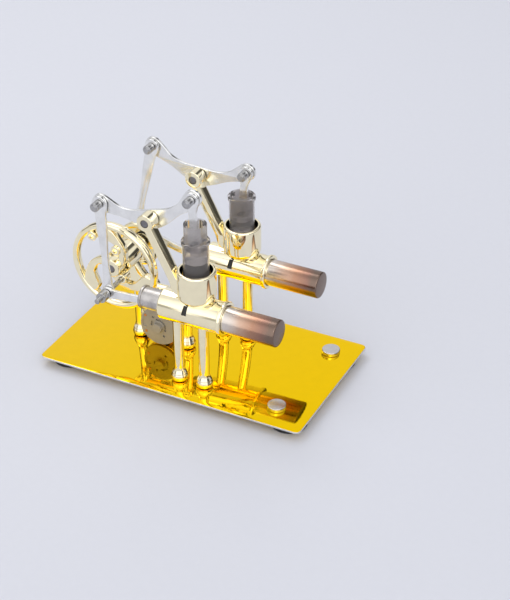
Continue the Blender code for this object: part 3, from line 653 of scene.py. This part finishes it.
LEG_X = (0.8 * MM, 16.2 * MM)
LEG_RADIUS = 2.95 * MM
BELL_RADIUS = 4.75 * MM
TUBE_LEFT = -7.2 * MM
TUBE_RADIUS = 8.8 * MM
FLANGE_RADIUS = 9.6 * MM
FLANGE_WIDTH = 2.1 * MM
CUP_RADIUS = 10.5 * MM
CUP_BORE = 8.9 * MM
CUP_FLOOR = PLATE_TOP + 58 * MM
CUP_TOP = PLATE_TOP + 73.4 * MM
HOT_BORE = 7.75 * MM
COLD_BORE = 6.25 * MM
GLAND_RADIUS = 1.6 * MM
PORT_RADIUS = 2 * MM
BOSS_RADIUS = 4.7 * MM
BOSS_Y = (-6.2 * MM, 0.8 * MM)
PIVOT_BORE = 2.3 * MM
ARM_FOOT = (4.5 * MM, PLATE_TOP + 62 * MM)
# The dark patch on the front of each tube, a painted reflection of something dark, sunk in a shallow cut: its
# outline, middle, slope and floor
REFLECTION_OUTLINE = (
    (-1.5 * MM, -2.7 * MM), (1.4 * MM, -2.7 * MM), (1.5 * MM, 2.6 * MM), (-0.9 * MM, 2.6 * MM),
)
REFLECTION_X = 9.4 * MM
REFLECTION_SLOPE = radians(26)
REFLECTION_FLOOR = 8.15 * MM
REFLECTION_RECESS_DEPTH = 1.2 * MM


def leg(name, x, y, top):
    """A round leg with a bell foot, standing just above the plate."""
    profile = [(0, top), (LEG_RADIUS, top), (LEG_RADIUS, PLATE_TOP + 8.4 * MM)]
    profile += [(3.2 * MM, PLATE_TOP + 7.0 * MM), (4.1 * MM, PLATE_TOP + 5.2 * MM)]
    profile += arc((0, PLATE_TOP + 2.5 * MM), BELL_RADIUS, radians(28), radians(-22), 5)
    profile += [(3.5 * MM, PLATE_TOP + GAP), (0, PLATE_TOP + GAP)]
    return turned(name, profile, "Z", (x, y, 0), round_off=1.2 * MM, steps=64)


def painted_reflection_slab(name, side, height, half_depth, edge):
    """A flat solid with the painted reflection's outline, its middle at a height above its floor."""
    outward = Vector((0, -cos(REFLECTION_SLOPE), sin(REFLECTION_SLOPE)))
    seat = Vector((REFLECTION_X, PIVOT[side].y, CROSSHEAD[side].z)) + REFLECTION_FLOOR * outward
    turn = (pi / 2 - REFLECTION_SLOPE, 0, 0)
    return slab(name, [REFLECTION_OUTLINE], (-half_depth, half_depth), seat + height * outward, edge, turn)


def make_housing(side):
    """The one-piece gold body of an engine: tube, cup, arm with its boss, and two legs."""
    pivot = PIVOT[side]
    y, bore_z = pivot.y, CROSSHEAD[side].z
    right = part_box(f"housing_{side}")[1].x
    shelf = right - FLANGE_WIDTH
    line_x = (0, y, bore_z)
    cup_line = (CUP_X, y, 0)
    tube = turned(
        "tube",
        [
            (0, right), (FLANGE_RADIUS, right), (FLANGE_RADIUS, shelf), (TUBE_RADIUS, shelf),
            (TUBE_RADIUS, TUBE_LEFT), (0, TUBE_LEFT),
        ],
        "X", line_x, round_off=0.8 * MM, steps=128,
    )
    cup = turned(
        "cup",
        [
            (0, CUP_TOP), (CUP_RADIUS, CUP_TOP), (CUP_RADIUS, PLATE_TOP + 57.6 * MM),
            (8.4 * MM, PLATE_TOP + 55.2 * MM), (6.2 * MM, bore_z + 5 * MM), (0, bore_z + 5 * MM),
        ],
        "Z", cup_line, round_off=1.3 * MM, steps=128,
    )
    boss = rod("boss", BOSS_RADIUS, *BOSS_Y, "Y", pivot, 0.5 * MM, 96)
    run = (ARM_FOOT[0] - pivot.x, ARM_FOOT[1] - pivot.z)
    widths = [(0, 2.3 * MM), (0.8, 2.4 * MM), (1, 3.4 * MM)]
    layer = (BOSS_Y[0] + 0.15 * MM, -0.2 * MM)
    arm = slab("arm", [strap(line(run), widths, widths)], layer, pivot, 0.35 * MM)
    legs = [leg(f"leg_{index}", x, y, bore_z - 4 * MM) for index, x in enumerate(LEG_X)]
    cuts = [
        rod("cup_bore", CUP_BORE, CUP_FLOOR, CUP_TOP + MM, "Z", cup_line, 0, 128),
        rod("port", PORT_RADIUS, bore_z, CUP_FLOOR + MM, "Z", cup_line, 0, 32),
        rod("hot_bore", HOT_BORE, 8 * MM, right + MM, "X", line_x, 0, 96),
        rod("gland", GLAND_RADIUS, 0, 9 * MM, "X", line_x, 0, 32),
        rod("cold_bore", COLD_BORE, TUBE_LEFT - MM, 2.5 * MM, "X", line_x, 0, 96),
        rod("pivot_bore", PIVOT_BORE, BOSS_Y[0] - MM, BOSS_Y[1] + MM, "Y", pivot, 0, 48),
        # The shallow cut that holds the painted reflection
        painted_reflection_slab("painted_reflection_recess", side, REFLECTION_RECESS_DEPTH, REFLECTION_RECESS_DEPTH, 0.1 * MM),
    ]
    housing = combined(f"engine_housing_{side}", tube, (cup, boss, arm, *legs), cuts)
    show(housing, f"housing_{side}")
    # A black sheet in that cut: a painted reflection of something dark, not a real opening
    shade = painted_reflection_slab(f"tube_painted_reflection_{side}", side, 0, 0.15 * MM, 0.05 * MM)
    show(shade, f"housing_{side}", finish="painted_reflection_black")


def make_cylinders(side):
    """Hot cap and cold cylinder on the tube's line, glass cylinder and piston on the cup's."""
    y, bore_z = PIVOT[side].y, CROSSHEAD[side].z
    line_x = (0, y, bore_z)
    cup_line = (CUP_X, y, 0)
    low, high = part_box(f"hot_cap_{side}")
    radius, wall, end = (high.z - low.z) / 2, 0.5 * MM, 0.8 * MM
    cap = turned(
        f"heater_cap_{side}",
        [
            (0, high.x), (radius, high.x), (radius, low.x), (radius - wall, low.x),
            (radius - wall, high.x - end), (0, high.x - end),
        ],
        "X", line_x, round_off=0.9 * MM, steps=128,
    )
    show(cap, f"hot_cap_{side}")
    low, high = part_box(f"cold_cylinder_{side}")
    rim, body, bore = (high.z - low.z) / 2, 5.95 * MM, 5.2 * MM
    shelf = low.x + 1.5 * MM
    cold = turned(
        f"cooler_{side}",
        [(body, high.x), (body, shelf), (rim, shelf), (rim, low.x), (bore, low.x), (bore, high.x)],
        "X", line_x, closed=True, round_off=0.3 * MM, steps=128,
    )
    show(cold, f"cold_cylinder_{side}")
    low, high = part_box(f"power_cylinder_{side}")
    rim, body, bore = (high.x - low.x) / 2, 7.0 * MM, 6.4 * MM
    shelf = high.z - 2.1 * MM
    glass = turned(
        f"glass_{side}",
        [(rim, high.z), (rim, shelf), (body, shelf), (body, low.z), (bore, low.z), (bore, high.z)],
        "Z", cup_line, closed=True, round_off=0.4 * MM, steps=128,
    )
    show(glass, f"power_cylinder_{side}")
    low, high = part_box(f"piston_{side}")
    radius, bore = (high.x - low.x) / 2, 5.0 * MM
    floor = WRIST[side].z - 4.5 * MM
    cup = turned(
        f"power_piston_{side}",
        [(radius, high.z), (radius, low.z), (0, low.z), (0, floor), (bore, floor), (bore, high.z)],
        "Z", cup_line, round_off=0.35 * MM, steps=128,
    )
    show(cup, f"piston_{side}")


SLEEVE_LENGTH = 5.2 * MM
THREAD_PITCH = 0.5 * MM
THREAD_DEPTH = 0.18 * MM
PIN_EYE = 1.85 * MM


def ridges(radius, start, end):
    """Thread-like rings from start down to end."""
    count = int(abs(start - end) / THREAD_PITCH)
    made = []
    for k in range(count):
        along = start + (end - start) * (k + 0.5) / count
        made.append((radius - (THREAD_DEPTH if k % 2 else 0), along))
    return made


def pin_with_sleeve(name, node_name, sleeve, shank_radius=1.6 * MM, thread=None):
    """A pin whose thick sleeve spans part of its length; its front or back end may be threaded."""
    low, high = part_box(node_name)
    middle = (low + high) / 2
    sleeve_radius = (high.x - low.x) / 2
    inset = 0.3 * MM
    profile = [(0, high.y)]
    if high.y > sleeve[1] + 1e-5:
        profile.append((shank_radius, high.y))
        if thread == "back":
            profile += ridges(shank_radius, high.y - inset, sleeve[1])
        profile.append((shank_radius, sleeve[1]))
    profile += [(sleeve_radius, sleeve[1]), (sleeve_radius, sleeve[0]), (shank_radius, sleeve[0])]
    if thread == "front":
        profile += ridges(shank_radius, sleeve[0], low.y + inset)
    profile += [(shank_radius, low.y), (0, low.y)]
    origin = (middle.x, 0, middle.z)
    pin = turned(name, profile, "Y", origin, round_off=0.25 * MM, steps=64)
    show(pin, node_name, finish="pin_steel")


def make_rocker(side):
    """The bow-shaped beam, its pivot pin and the sleeved pins at its two eyes."""
    pivot = PIVOT[side]
    low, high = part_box(f"rocker_beam_{side}")
    left = (LEFT_PIN[side].x - pivot.x, LEFT_PIN[side].z - pivot.z)
    right = (RIGHT_PIN[side].x - pivot.x, RIGHT_PIN[side].z - pivot.z)

    def bow(s):
        """Quadratic curve through the left eye, the pivot and the right eye."""
        return tuple(left[k] * (1 - s) * (1 - 2 * s) + right[k] * s * (2 * s - 1) for k in (0, 1))

    eye, waist = 4.8 * MM, 2.8 * MM
    upper = [(0, eye), (0.2, waist), (0.5, 4.6 * MM), (0.8, waist), (1, eye)]
    lower = [(0, eye), (0.2, waist), (0.5, 6.2 * MM), (0.8, waist), (1, eye)]
    holes = [circle(left, PIN_EYE), circle(right, PIN_EYE), circle((0, 0), 2.25 * MM)]
    loops = [strap(bow, upper, lower, 96), *holes]
    beam = slab(f"beam_{side}", loops, (low.y - pivot.y, high.y - pivot.y), pivot)
    show(beam, f"rocker_beam_{side}")
    low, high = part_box(f"pivot_pin_{side}")
    radius = (high.x - low.x) / 2
    pin = rod(f"rocker_pin_{side}", radius, low.y, high.y, "Y", (pivot.x, 0, pivot.z))
    show(pin, f"pivot_pin_{side}")
    for end in ("left", "right"):
        name = f"beam_pin_{end}_{side}"
        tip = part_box(name)[0].y
        pin_with_sleeve(f"link_pin_{end}_{side}", name, (tip + 0.5 * MM, tip + 5.1 * MM))


def make_link(name, node_name, start, end, widths, holes):
    """A flat link from one pin's place to another; holes are the radii of its two eyes."""
    low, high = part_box(node_name)
    run = (end.x - start.x, end.z - start.z)
    loops = [strap(line(run), widths, widths), circle((0, 0), holes[0]), circle(run, holes[1], 32)]
    show(slab(name, loops, (low.y - start.y, high.y - start.y), start), node_name)


def make_links(side):
    small_eye = 1.2 * MM
    make_link(
        f"long_link_{side}", f"connecting_link_{side}", LEFT_PIN[side], CRANK_PIN[side],
        [(0, 4.3 * MM), (0.16, 3.1 * MM), (0.66, 1.85 * MM), (0.9, 2.6 * MM), (1, 3.4 * MM)],
        (PIN_EYE, PIN_EYE),
    )
    make_link(
        f"short_link_{side}", f"piston_link_{side}", RIGHT_PIN[side], WRIST[side],
        [(0, 4.0 * MM), (0.35, 2.1 * MM), (0.8, 2.3 * MM), (1, 2.6 * MM)],
        (PIN_EYE, small_eye),
    )
    make_link(
        f"pull_link_{side}", f"displacer_link_{side}", CROSSHEAD[side], CRANK_PIN[side],
        [(0, 1.9 * MM), (0.25, 2.1 * MM), (0.8, 2.4 * MM), (1, 3.5 * MM)],
        (small_eye, PIN_EYE),
    )


def make_crank_nuts():
    """The sleeves at the outer faces of the links on the crank pins, with threaded ends."""
    shank = 1.5 * MM
    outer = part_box("displacer_link_front")[0].y - GAP
    sleeve = (outer - SLEEVE_LENGTH, outer)
    pin_with_sleeve("nut_front", "crank_nut_front", sleeve, shank, "front")
    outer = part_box("connecting_link_back")[1].y + GAP
    sleeve = (outer, outer + SLEEVE_LENGTH)
    pin_with_sleeve("nut_back", "crank_nut_back", sleeve, shank, "back")


# Crankshaft, flywheel and belt drive

HUB_RADIUS = 5.2 * MM
SHAFT_BORE = 2.4 * MM
CRANK_PIN_SEAT = 1.6 * MM
WHEEL_INNER = 22.6 * MM
WHEEL_Y = (-15.2 * MM, -9.8 * MM)
WHEEL_LIP = 1.4 * MM
SPOKE_FOOT = 4.4 * MM
SPOKE_START = radians(158)
SPOKE_SWEEP = radians(68)
WHEEL_BOSSES = ((20.8 * MM, radians(126)), (11.4 * MM, radians(78)))
SHAFT_GROOVE = 4.0 * MM
GENERATOR_GROOVE = 2.5 * MM
SHAFT_CENTRE = Vector((SHAFT.x, 0, SHAFT.z))


def spoke_path(start, outer):
    inner = HUB_RADIUS - MM

    def path(s):
        radius = inner + (outer - inner) * s
        angle = start + SPOKE_SWEEP * s**1.3
        return (radius * cos(angle), radius * sin(angle))

    return path


def make_wheel_rim(radius):
    front, back = WHEEL_Y
    outer_round, inner_round, back_round = 1.1 * MM, 1.1 * MM, 0.9 * MM
    return turned(
        "rim",
        [
            (radius - back_round, back), (radius, back - WHEEL_LIP), (radius, front + WHEEL_LIP),
            (radius - outer_round, front), (WHEEL_INNER + inner_round, front),
            (WHEEL_INNER, front + WHEEL_LIP), (WHEEL_INNER, back - WHEEL_LIP),
            (WHEEL_INNER + back_round, back),
        ],
        "Y", SHAFT_CENTRE, closed=True, round_off=0.9 * MM, steps=192,
    )


def make_flywheel():
    """Rim, hub, three curved spokes, two small hollow bosses and the crank pin's boss."""
    low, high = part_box("flywheel")
    radius = (high.x - low.x) / 2
    hub_front, hub_back = low.y, high.y
    front, back = WHEEL_Y
    hub = rod("hub", HUB_RADIUS, hub_front, hub_back, "Y", SHAFT_CENTRE, 0.7 * MM, 96)
    widths = [(0, 2.8 * MM), (0.3, 2.1 * MM), (0.65, 2.3 * MM), (1, SPOKE_FOOT)]
    layer = (front + 0.5 * MM, back - 0.5 * MM)
    spokes = []
    for index in range(3):
        path = spoke_path(SPOKE_START + index * 2 * pi / 3, radius - SPOKE_FOOT - MM)
        outline = strap(path, widths, widths, 32)
        spokes.append(slab(f"spoke_{index}", [outline], layer, SHAFT_CENTRE, 0.8 * MM))
    bosses, holes = [], []
    for index, (reach, angle) in enumerate(WHEEL_BOSSES):
        place = SHAFT_CENTRE + Vector((reach * cos(angle), 0, reach * sin(angle)))
        ends = (front - 0.6 * MM, back - MM)
        bosses.append(rod(f"boss_{index}", 2.8 * MM, *ends, "Y", place, 0.5 * MM))
        ends = (front - 2 * MM, front + 1.6 * MM)
        holes.append(rod(f"hole_{index}", 1.5 * MM, *ends, "Y", place, 0, 32))
    pin = Vector((CRANK_PIN["front"].x, 0, CRANK_PIN["front"].z))
    crank_boss = rod("crank_boss", 2.9 * MM, front - 1.4 * MM, hub_back - MM, "Y", pin, 0.5 * MM)
    pin_ends = (hub_front - 2 * MM, hub_front + 4.5 * MM)
    cuts = [
        rod("shaft_bore", SHAFT_BORE, hub_front - MM, hub_back + MM, "Y", SHAFT_CENTRE, 0, 48),
        rod("pin_hole", CRANK_PIN_SEAT, *pin_ends, "Y", pin, 0, 32),
        *holes,
    ]
    solids = (hub, *spokes, *bosses, crank_boss)
    show(combined("wheel", make_wheel_rim(radius), solids, cuts), "flywheel")


def make_crankshaft():
    low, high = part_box("crankshaft")
    shaft = rod("shaft", (high.x - low.x) / 2, low.y, high.y, "Y", SHAFT_CENTRE, 0.4 * MM)
    show(shaft, "crankshaft")
    for side in SIDES:
        name = f"crank_pin_{side}"
        low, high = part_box(name)
        place = Vector((CRANK_PIN[side].x, 0, CRANK_PIN[side].z))
        pin = rod(f"throw_pin_{side}", (high.x - low.x) / 2, low.y, high.y, "Y", place)
        show(pin, name, finish="pin_steel")


def make_crank_disc():
    """The back crank: a disc with a raised hub and rim and a seat for its pin."""
    low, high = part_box("crank_disc")
    radius, sunk = (high.x - low.x) / 2, low.y + 0.7 * MM
    disc = turned(
        "throw_disc",
        [
            (radius, high.y), (radius, low.y), (radius - 2 * MM, low.y), (radius - 2.8 * MM, sunk),
            (5.6 * MM, sunk), (4.8 * MM, low.y), (SHAFT_BORE, low.y), (SHAFT_BORE, high.y),
        ],
        "Y", SHAFT_CENTRE, closed=True, round_off=0.5 * MM, steps=128,
    )
    pin = Vector((CRANK_PIN["back"].x, 0, CRANK_PIN["back"].z))
    ends = (high.y - 2.7 * MM, high.y + MM)
    hole = rod("disc_hole", CRANK_PIN_SEAT, *ends, "Y", pin, 0, 32)
    show(combined("throw_disc_back", disc, (), (hole,)), "crank_disc")


def make_pulleys():
    for name, groove, bore, middle in (
        ("belt_pulley", SHAFT_GROOVE, SHAFT_BORE, SHAFT),
        ("generator_pulley", GENERATOR_GROOVE, 1.2 * MM, GENERATOR),
    ):
        low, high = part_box(name)
        lip, centre_y = (high.x - low.x) / 2, (low.y + high.y) / 2
        half_groove = 0.3 * MM
        pulley = turned(
            f"grooved_{name}",
            [
                (lip, high.y), (groove, centre_y + half_groove), (groove, centre_y - half_groove),
                (lip, low.y), (bore, low.y), (bore, high.y),
            ],
            "Y", (middle.x, 0, middle.z), closed=True, round_off=0.25 * MM, steps=64,
        )
        show(pulley, name)


def make_belt():
    """A round belt on the two outer tangents of the pulleys."""
    low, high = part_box("drive_belt")
    radius = (high.y - low.y) / 2
    large, small = SHAFT_GROOVE + GAP + radius, GENERATOR_GROOVE + GAP + radius
    run = (GENERATOR.x - SHAFT.x, GENERATOR.z - SHAFT.z)
    heading = atan2(run[1], run[0])
    lean = pi / 2 - (large - small) / hypot(*run)
    loop = arc((SHAFT.x, SHAFT.z), large, heading + lean, heading + 2 * pi - lean, 40)
    loop += arc((GENERATOR.x, GENERATOR.z), small, heading - lean, heading + lean, 28)
    data = bpy.data.curves.new("belt", "CURVE")
    data.dimensions = "3D"
    data.bevel_depth = radius
    data.bevel_resolution = 4
    spline = data.splines.new("POLY")
    spline.points.add(len(loop) - 1)
    for point, (x, z) in zip(spline.points, loop):
        point.co = (x, (low.y + high.y) / 2, z, 1)
    spline.use_cyclic_u = True
    made = bpy.data.objects.new("belt", data)
    bpy.context.scene.collection.objects.link(made)
    show(evaluated_copy("round_belt", made), "drive_belt")


# Shaft stand and generator

STAND_LEGS = (-40.3 * MM, -10.4 * MM)
STAND_BAR_Z = PLATE_TOP + 33 * MM
STAND_BAR_REACH = 3.4 * MM
BRACE_FEET = (STAND_LEGS[0], -33 * MM)
BEARING_SEAT = (5.7 * MM, 4 * MM)
CAP_THICKNESS = 1.6 * MM
CAP_BOSS_RADIUS = 2.9 * MM
CAP_HOLES = (6.45 * MM, (radians(121), radians(-59)))
CAP_SLOTS = ((radians(-25), radians(130)), (radians(150), radians(28)))
CAP_RECESS = (
    (-10.2 * MM, -2 * MM), (-7.3 * MM, -2 * MM), (-7.3 * MM, 2.6 * MM), (-10.2 * MM, 2.6 * MM),
)
CAP_RIVETS = ((-8.2 * MM, 5.6 * MM), (-8.0 * MM, -4.8 * MM))
GENERATOR_CENTRE = Vector((GENERATOR.x, 0, GENERATOR.z))


def make_stand():
    """The shaft's bearing boss on two braces, a bar and two legs."""
    low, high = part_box("shaft_stand")
    boss = rod("boss", 7.4 * MM, low.y, high.y, "Y", SHAFT_CENTRE, 0.8 * MM, 96)
    legs = [leg(f"leg_{index}", x, 0, STAND_BAR_Z) for index, x in enumerate(STAND_LEGS)]
    ends = (STAND_LEGS[0] - STAND_BAR_REACH, STAND_LEGS[1] + STAND_BAR_REACH)
    bar = rod("bar", 3.6 * MM, *ends, "X", (0, 0, STAND_BAR_Z), 1.4 * MM)
    widths = [(0, 3.2 * MM), (1, 2.6 * MM)]
    layer = (-2.8 * MM, 2.8 * MM)
    braces = []
    for index, foot in enumerate(BRACE_FEET):
        outline = strap(line((foot - SHAFT.x, STAND_BAR_Z - SHAFT.z)), widths, widths, 2)
        braces.append(slab(f"brace_{index}", [outline], layer, SHAFT_CENTRE, 0.6 * MM))
    seat_radius, seat_depth = BEARING_SEAT
    seat_ends = (low.y - MM, low.y + seat_depth)
    cuts = [
        rod("shaft_way", 2.8 * MM, low.y - MM, high.y + MM, "Y", SHAFT_CENTRE, 0, 48),
        rod("bearing_seat", seat_radius, *seat_ends, "Y", SHAFT_CENTRE, 0, 96),
    ]
    show(combined("stand", boss, (bar, *legs, *braces), cuts), "shaft_stand")


def make_bearing():
    """A ring with a sunk face between its two races."""
    low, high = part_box("shaft_bearing")
    outer, inner, race = (high.x - low.x) / 2, 2.5 * MM, 0.9 * MM
    sunk = low.y + 0.4 * MM
    bearing = turned(
        "ball_bearing",
        [
            (outer, high.y), (outer, low.y), (outer - race, low.y), (outer - MM, sunk),
            (inner + MM, sunk), (inner + race, low.y), (inner, low.y), (inner, high.y),
        ],
        "Y", SHAFT_CENTRE, closed=True, round_off=0.15 * MM, steps=96,
    )
    show(bearing, "shaft_bearing")


def make_generator_case():
    low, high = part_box("generator_case")
    radius, bore = (high.x - low.x) / 2, 1.4 * MM
    sunk = high.y - 0.3 * MM
    case = turned(
        "motor_can",
        [
            (radius, high.y), (radius, low.y), (bore, low.y), (bore, high.y), (3.2 * MM, high.y),
            (3.4 * MM, sunk), (radius - 1.2 * MM, sunk), (radius - 0.9 * MM, high.y),
        ],
        "Y", GENERATOR_CENTRE, closed=True, round_off=0.5 * MM, steps=128,
    )
    show(case, "generator_case")


def make_generator_cap():
    """The end cap: a boss in a sunk ring, two holes, two curved slots, a recess and two rivets."""
    low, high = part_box("generator_end_cap")
    radius, face = (high.x - low.x) / 2, high.y - CAP_THICKNESS
    sunk = face - 0.3 * MM
    profile = [(0, high.y), (radius, high.y), (radius, face), (3.5 * MM, face)]
    profile += [(3.3 * MM, sunk), (CAP_BOSS_RADIUS, sunk), (CAP_BOSS_RADIUS, low.y), (0, low.y)]
    cap = turned("cap", profile, "Y", GENERATOR_CENTRE, round_off=0.3 * MM, steps=96)
    deep = (face - MM, face + 0.9 * MM)
    shallow = (face - MM, face + 0.45 * MM)
    cuts = []
    reach, angles = CAP_HOLES
    for index, angle in enumerate(angles):
        place = GENERATOR_CENTRE + Vector((reach * cos(angle), 0, reach * sin(angle)))
        cuts.append(rod(f"cap_hole_{index}", 0.75 * MM, *deep, "Y", place, 0, 24))
    wide = [(0, 0.6 * MM), (1, 0.6 * MM)]
    edge = 0.01 * MM
    for index, (start, sweep) in enumerate(CAP_SLOTS):
        outline = strap(round_path(4.5 * MM, start, sweep), wide, wide, 20, 6)
        cuts.append(slab(f"cap_slot_{index}", [outline], deep, GENERATOR_CENTRE, edge))
    recess = softened(CAP_RECESS, 0.9 * MM, True)
    cuts.append(slab("cap_recess", [recess], shallow, GENERATOR_CENTRE, edge))
    show(combined("motor_end_cap", cap, (), cuts), "generator_end_cap")
    ends = (face - 0.25 * MM, face + 0.4 * MM)
    for index, (x, z) in enumerate(CAP_RIVETS):
        place = GENERATOR_CENTRE + Vector((x, 0, z))
        rivet = rod(f"motor_rivet_{index}", 0.8 * MM, *ends, "Y", place, 0.15 * MM, 32)
        show(rivet, "generator_end_cap", finish="copper")


# Nodes that keep their CAD shape


def finish_hidden_nodes():
    """The nodes whose CAD shape stays: each gets its finish and softened edges."""
    for name, made in frame["nodes"].items():
        if made.hide_render:
            continue
        made.data.materials.clear()
        made.data.materials.append(FINISH[SLOT_OF[name]])
        weld = made.modifiers.new("weld", "WELD")
        weld.merge_threshold = 1e-6
        soften = made.modifiers.new("edges", "BEVEL")
        soften.width = 0.12 * MM
        soften.segments = 2
        soften.limit_method = "ANGLE"
        soften.angle_limit = radians(40)


make_camera()
make_stage()
make_plate()
for foot_end in ("left", "right"):
    for foot_side in SIDES:
        make_foot(foot_end, foot_side)
for magnet_side in SIDES:
    make_magnet(magnet_side)
for engine in SIDES:
    make_housing(engine)
    make_cylinders(engine)
    make_rocker(engine)
    make_links(engine)
make_crank_nuts()
make_flywheel()
make_crankshaft()
make_crank_disc()
make_pulleys()
make_belt()
make_stand()
make_bearing()
make_generator_case()
make_generator_cap()
finish_hidden_nodes()
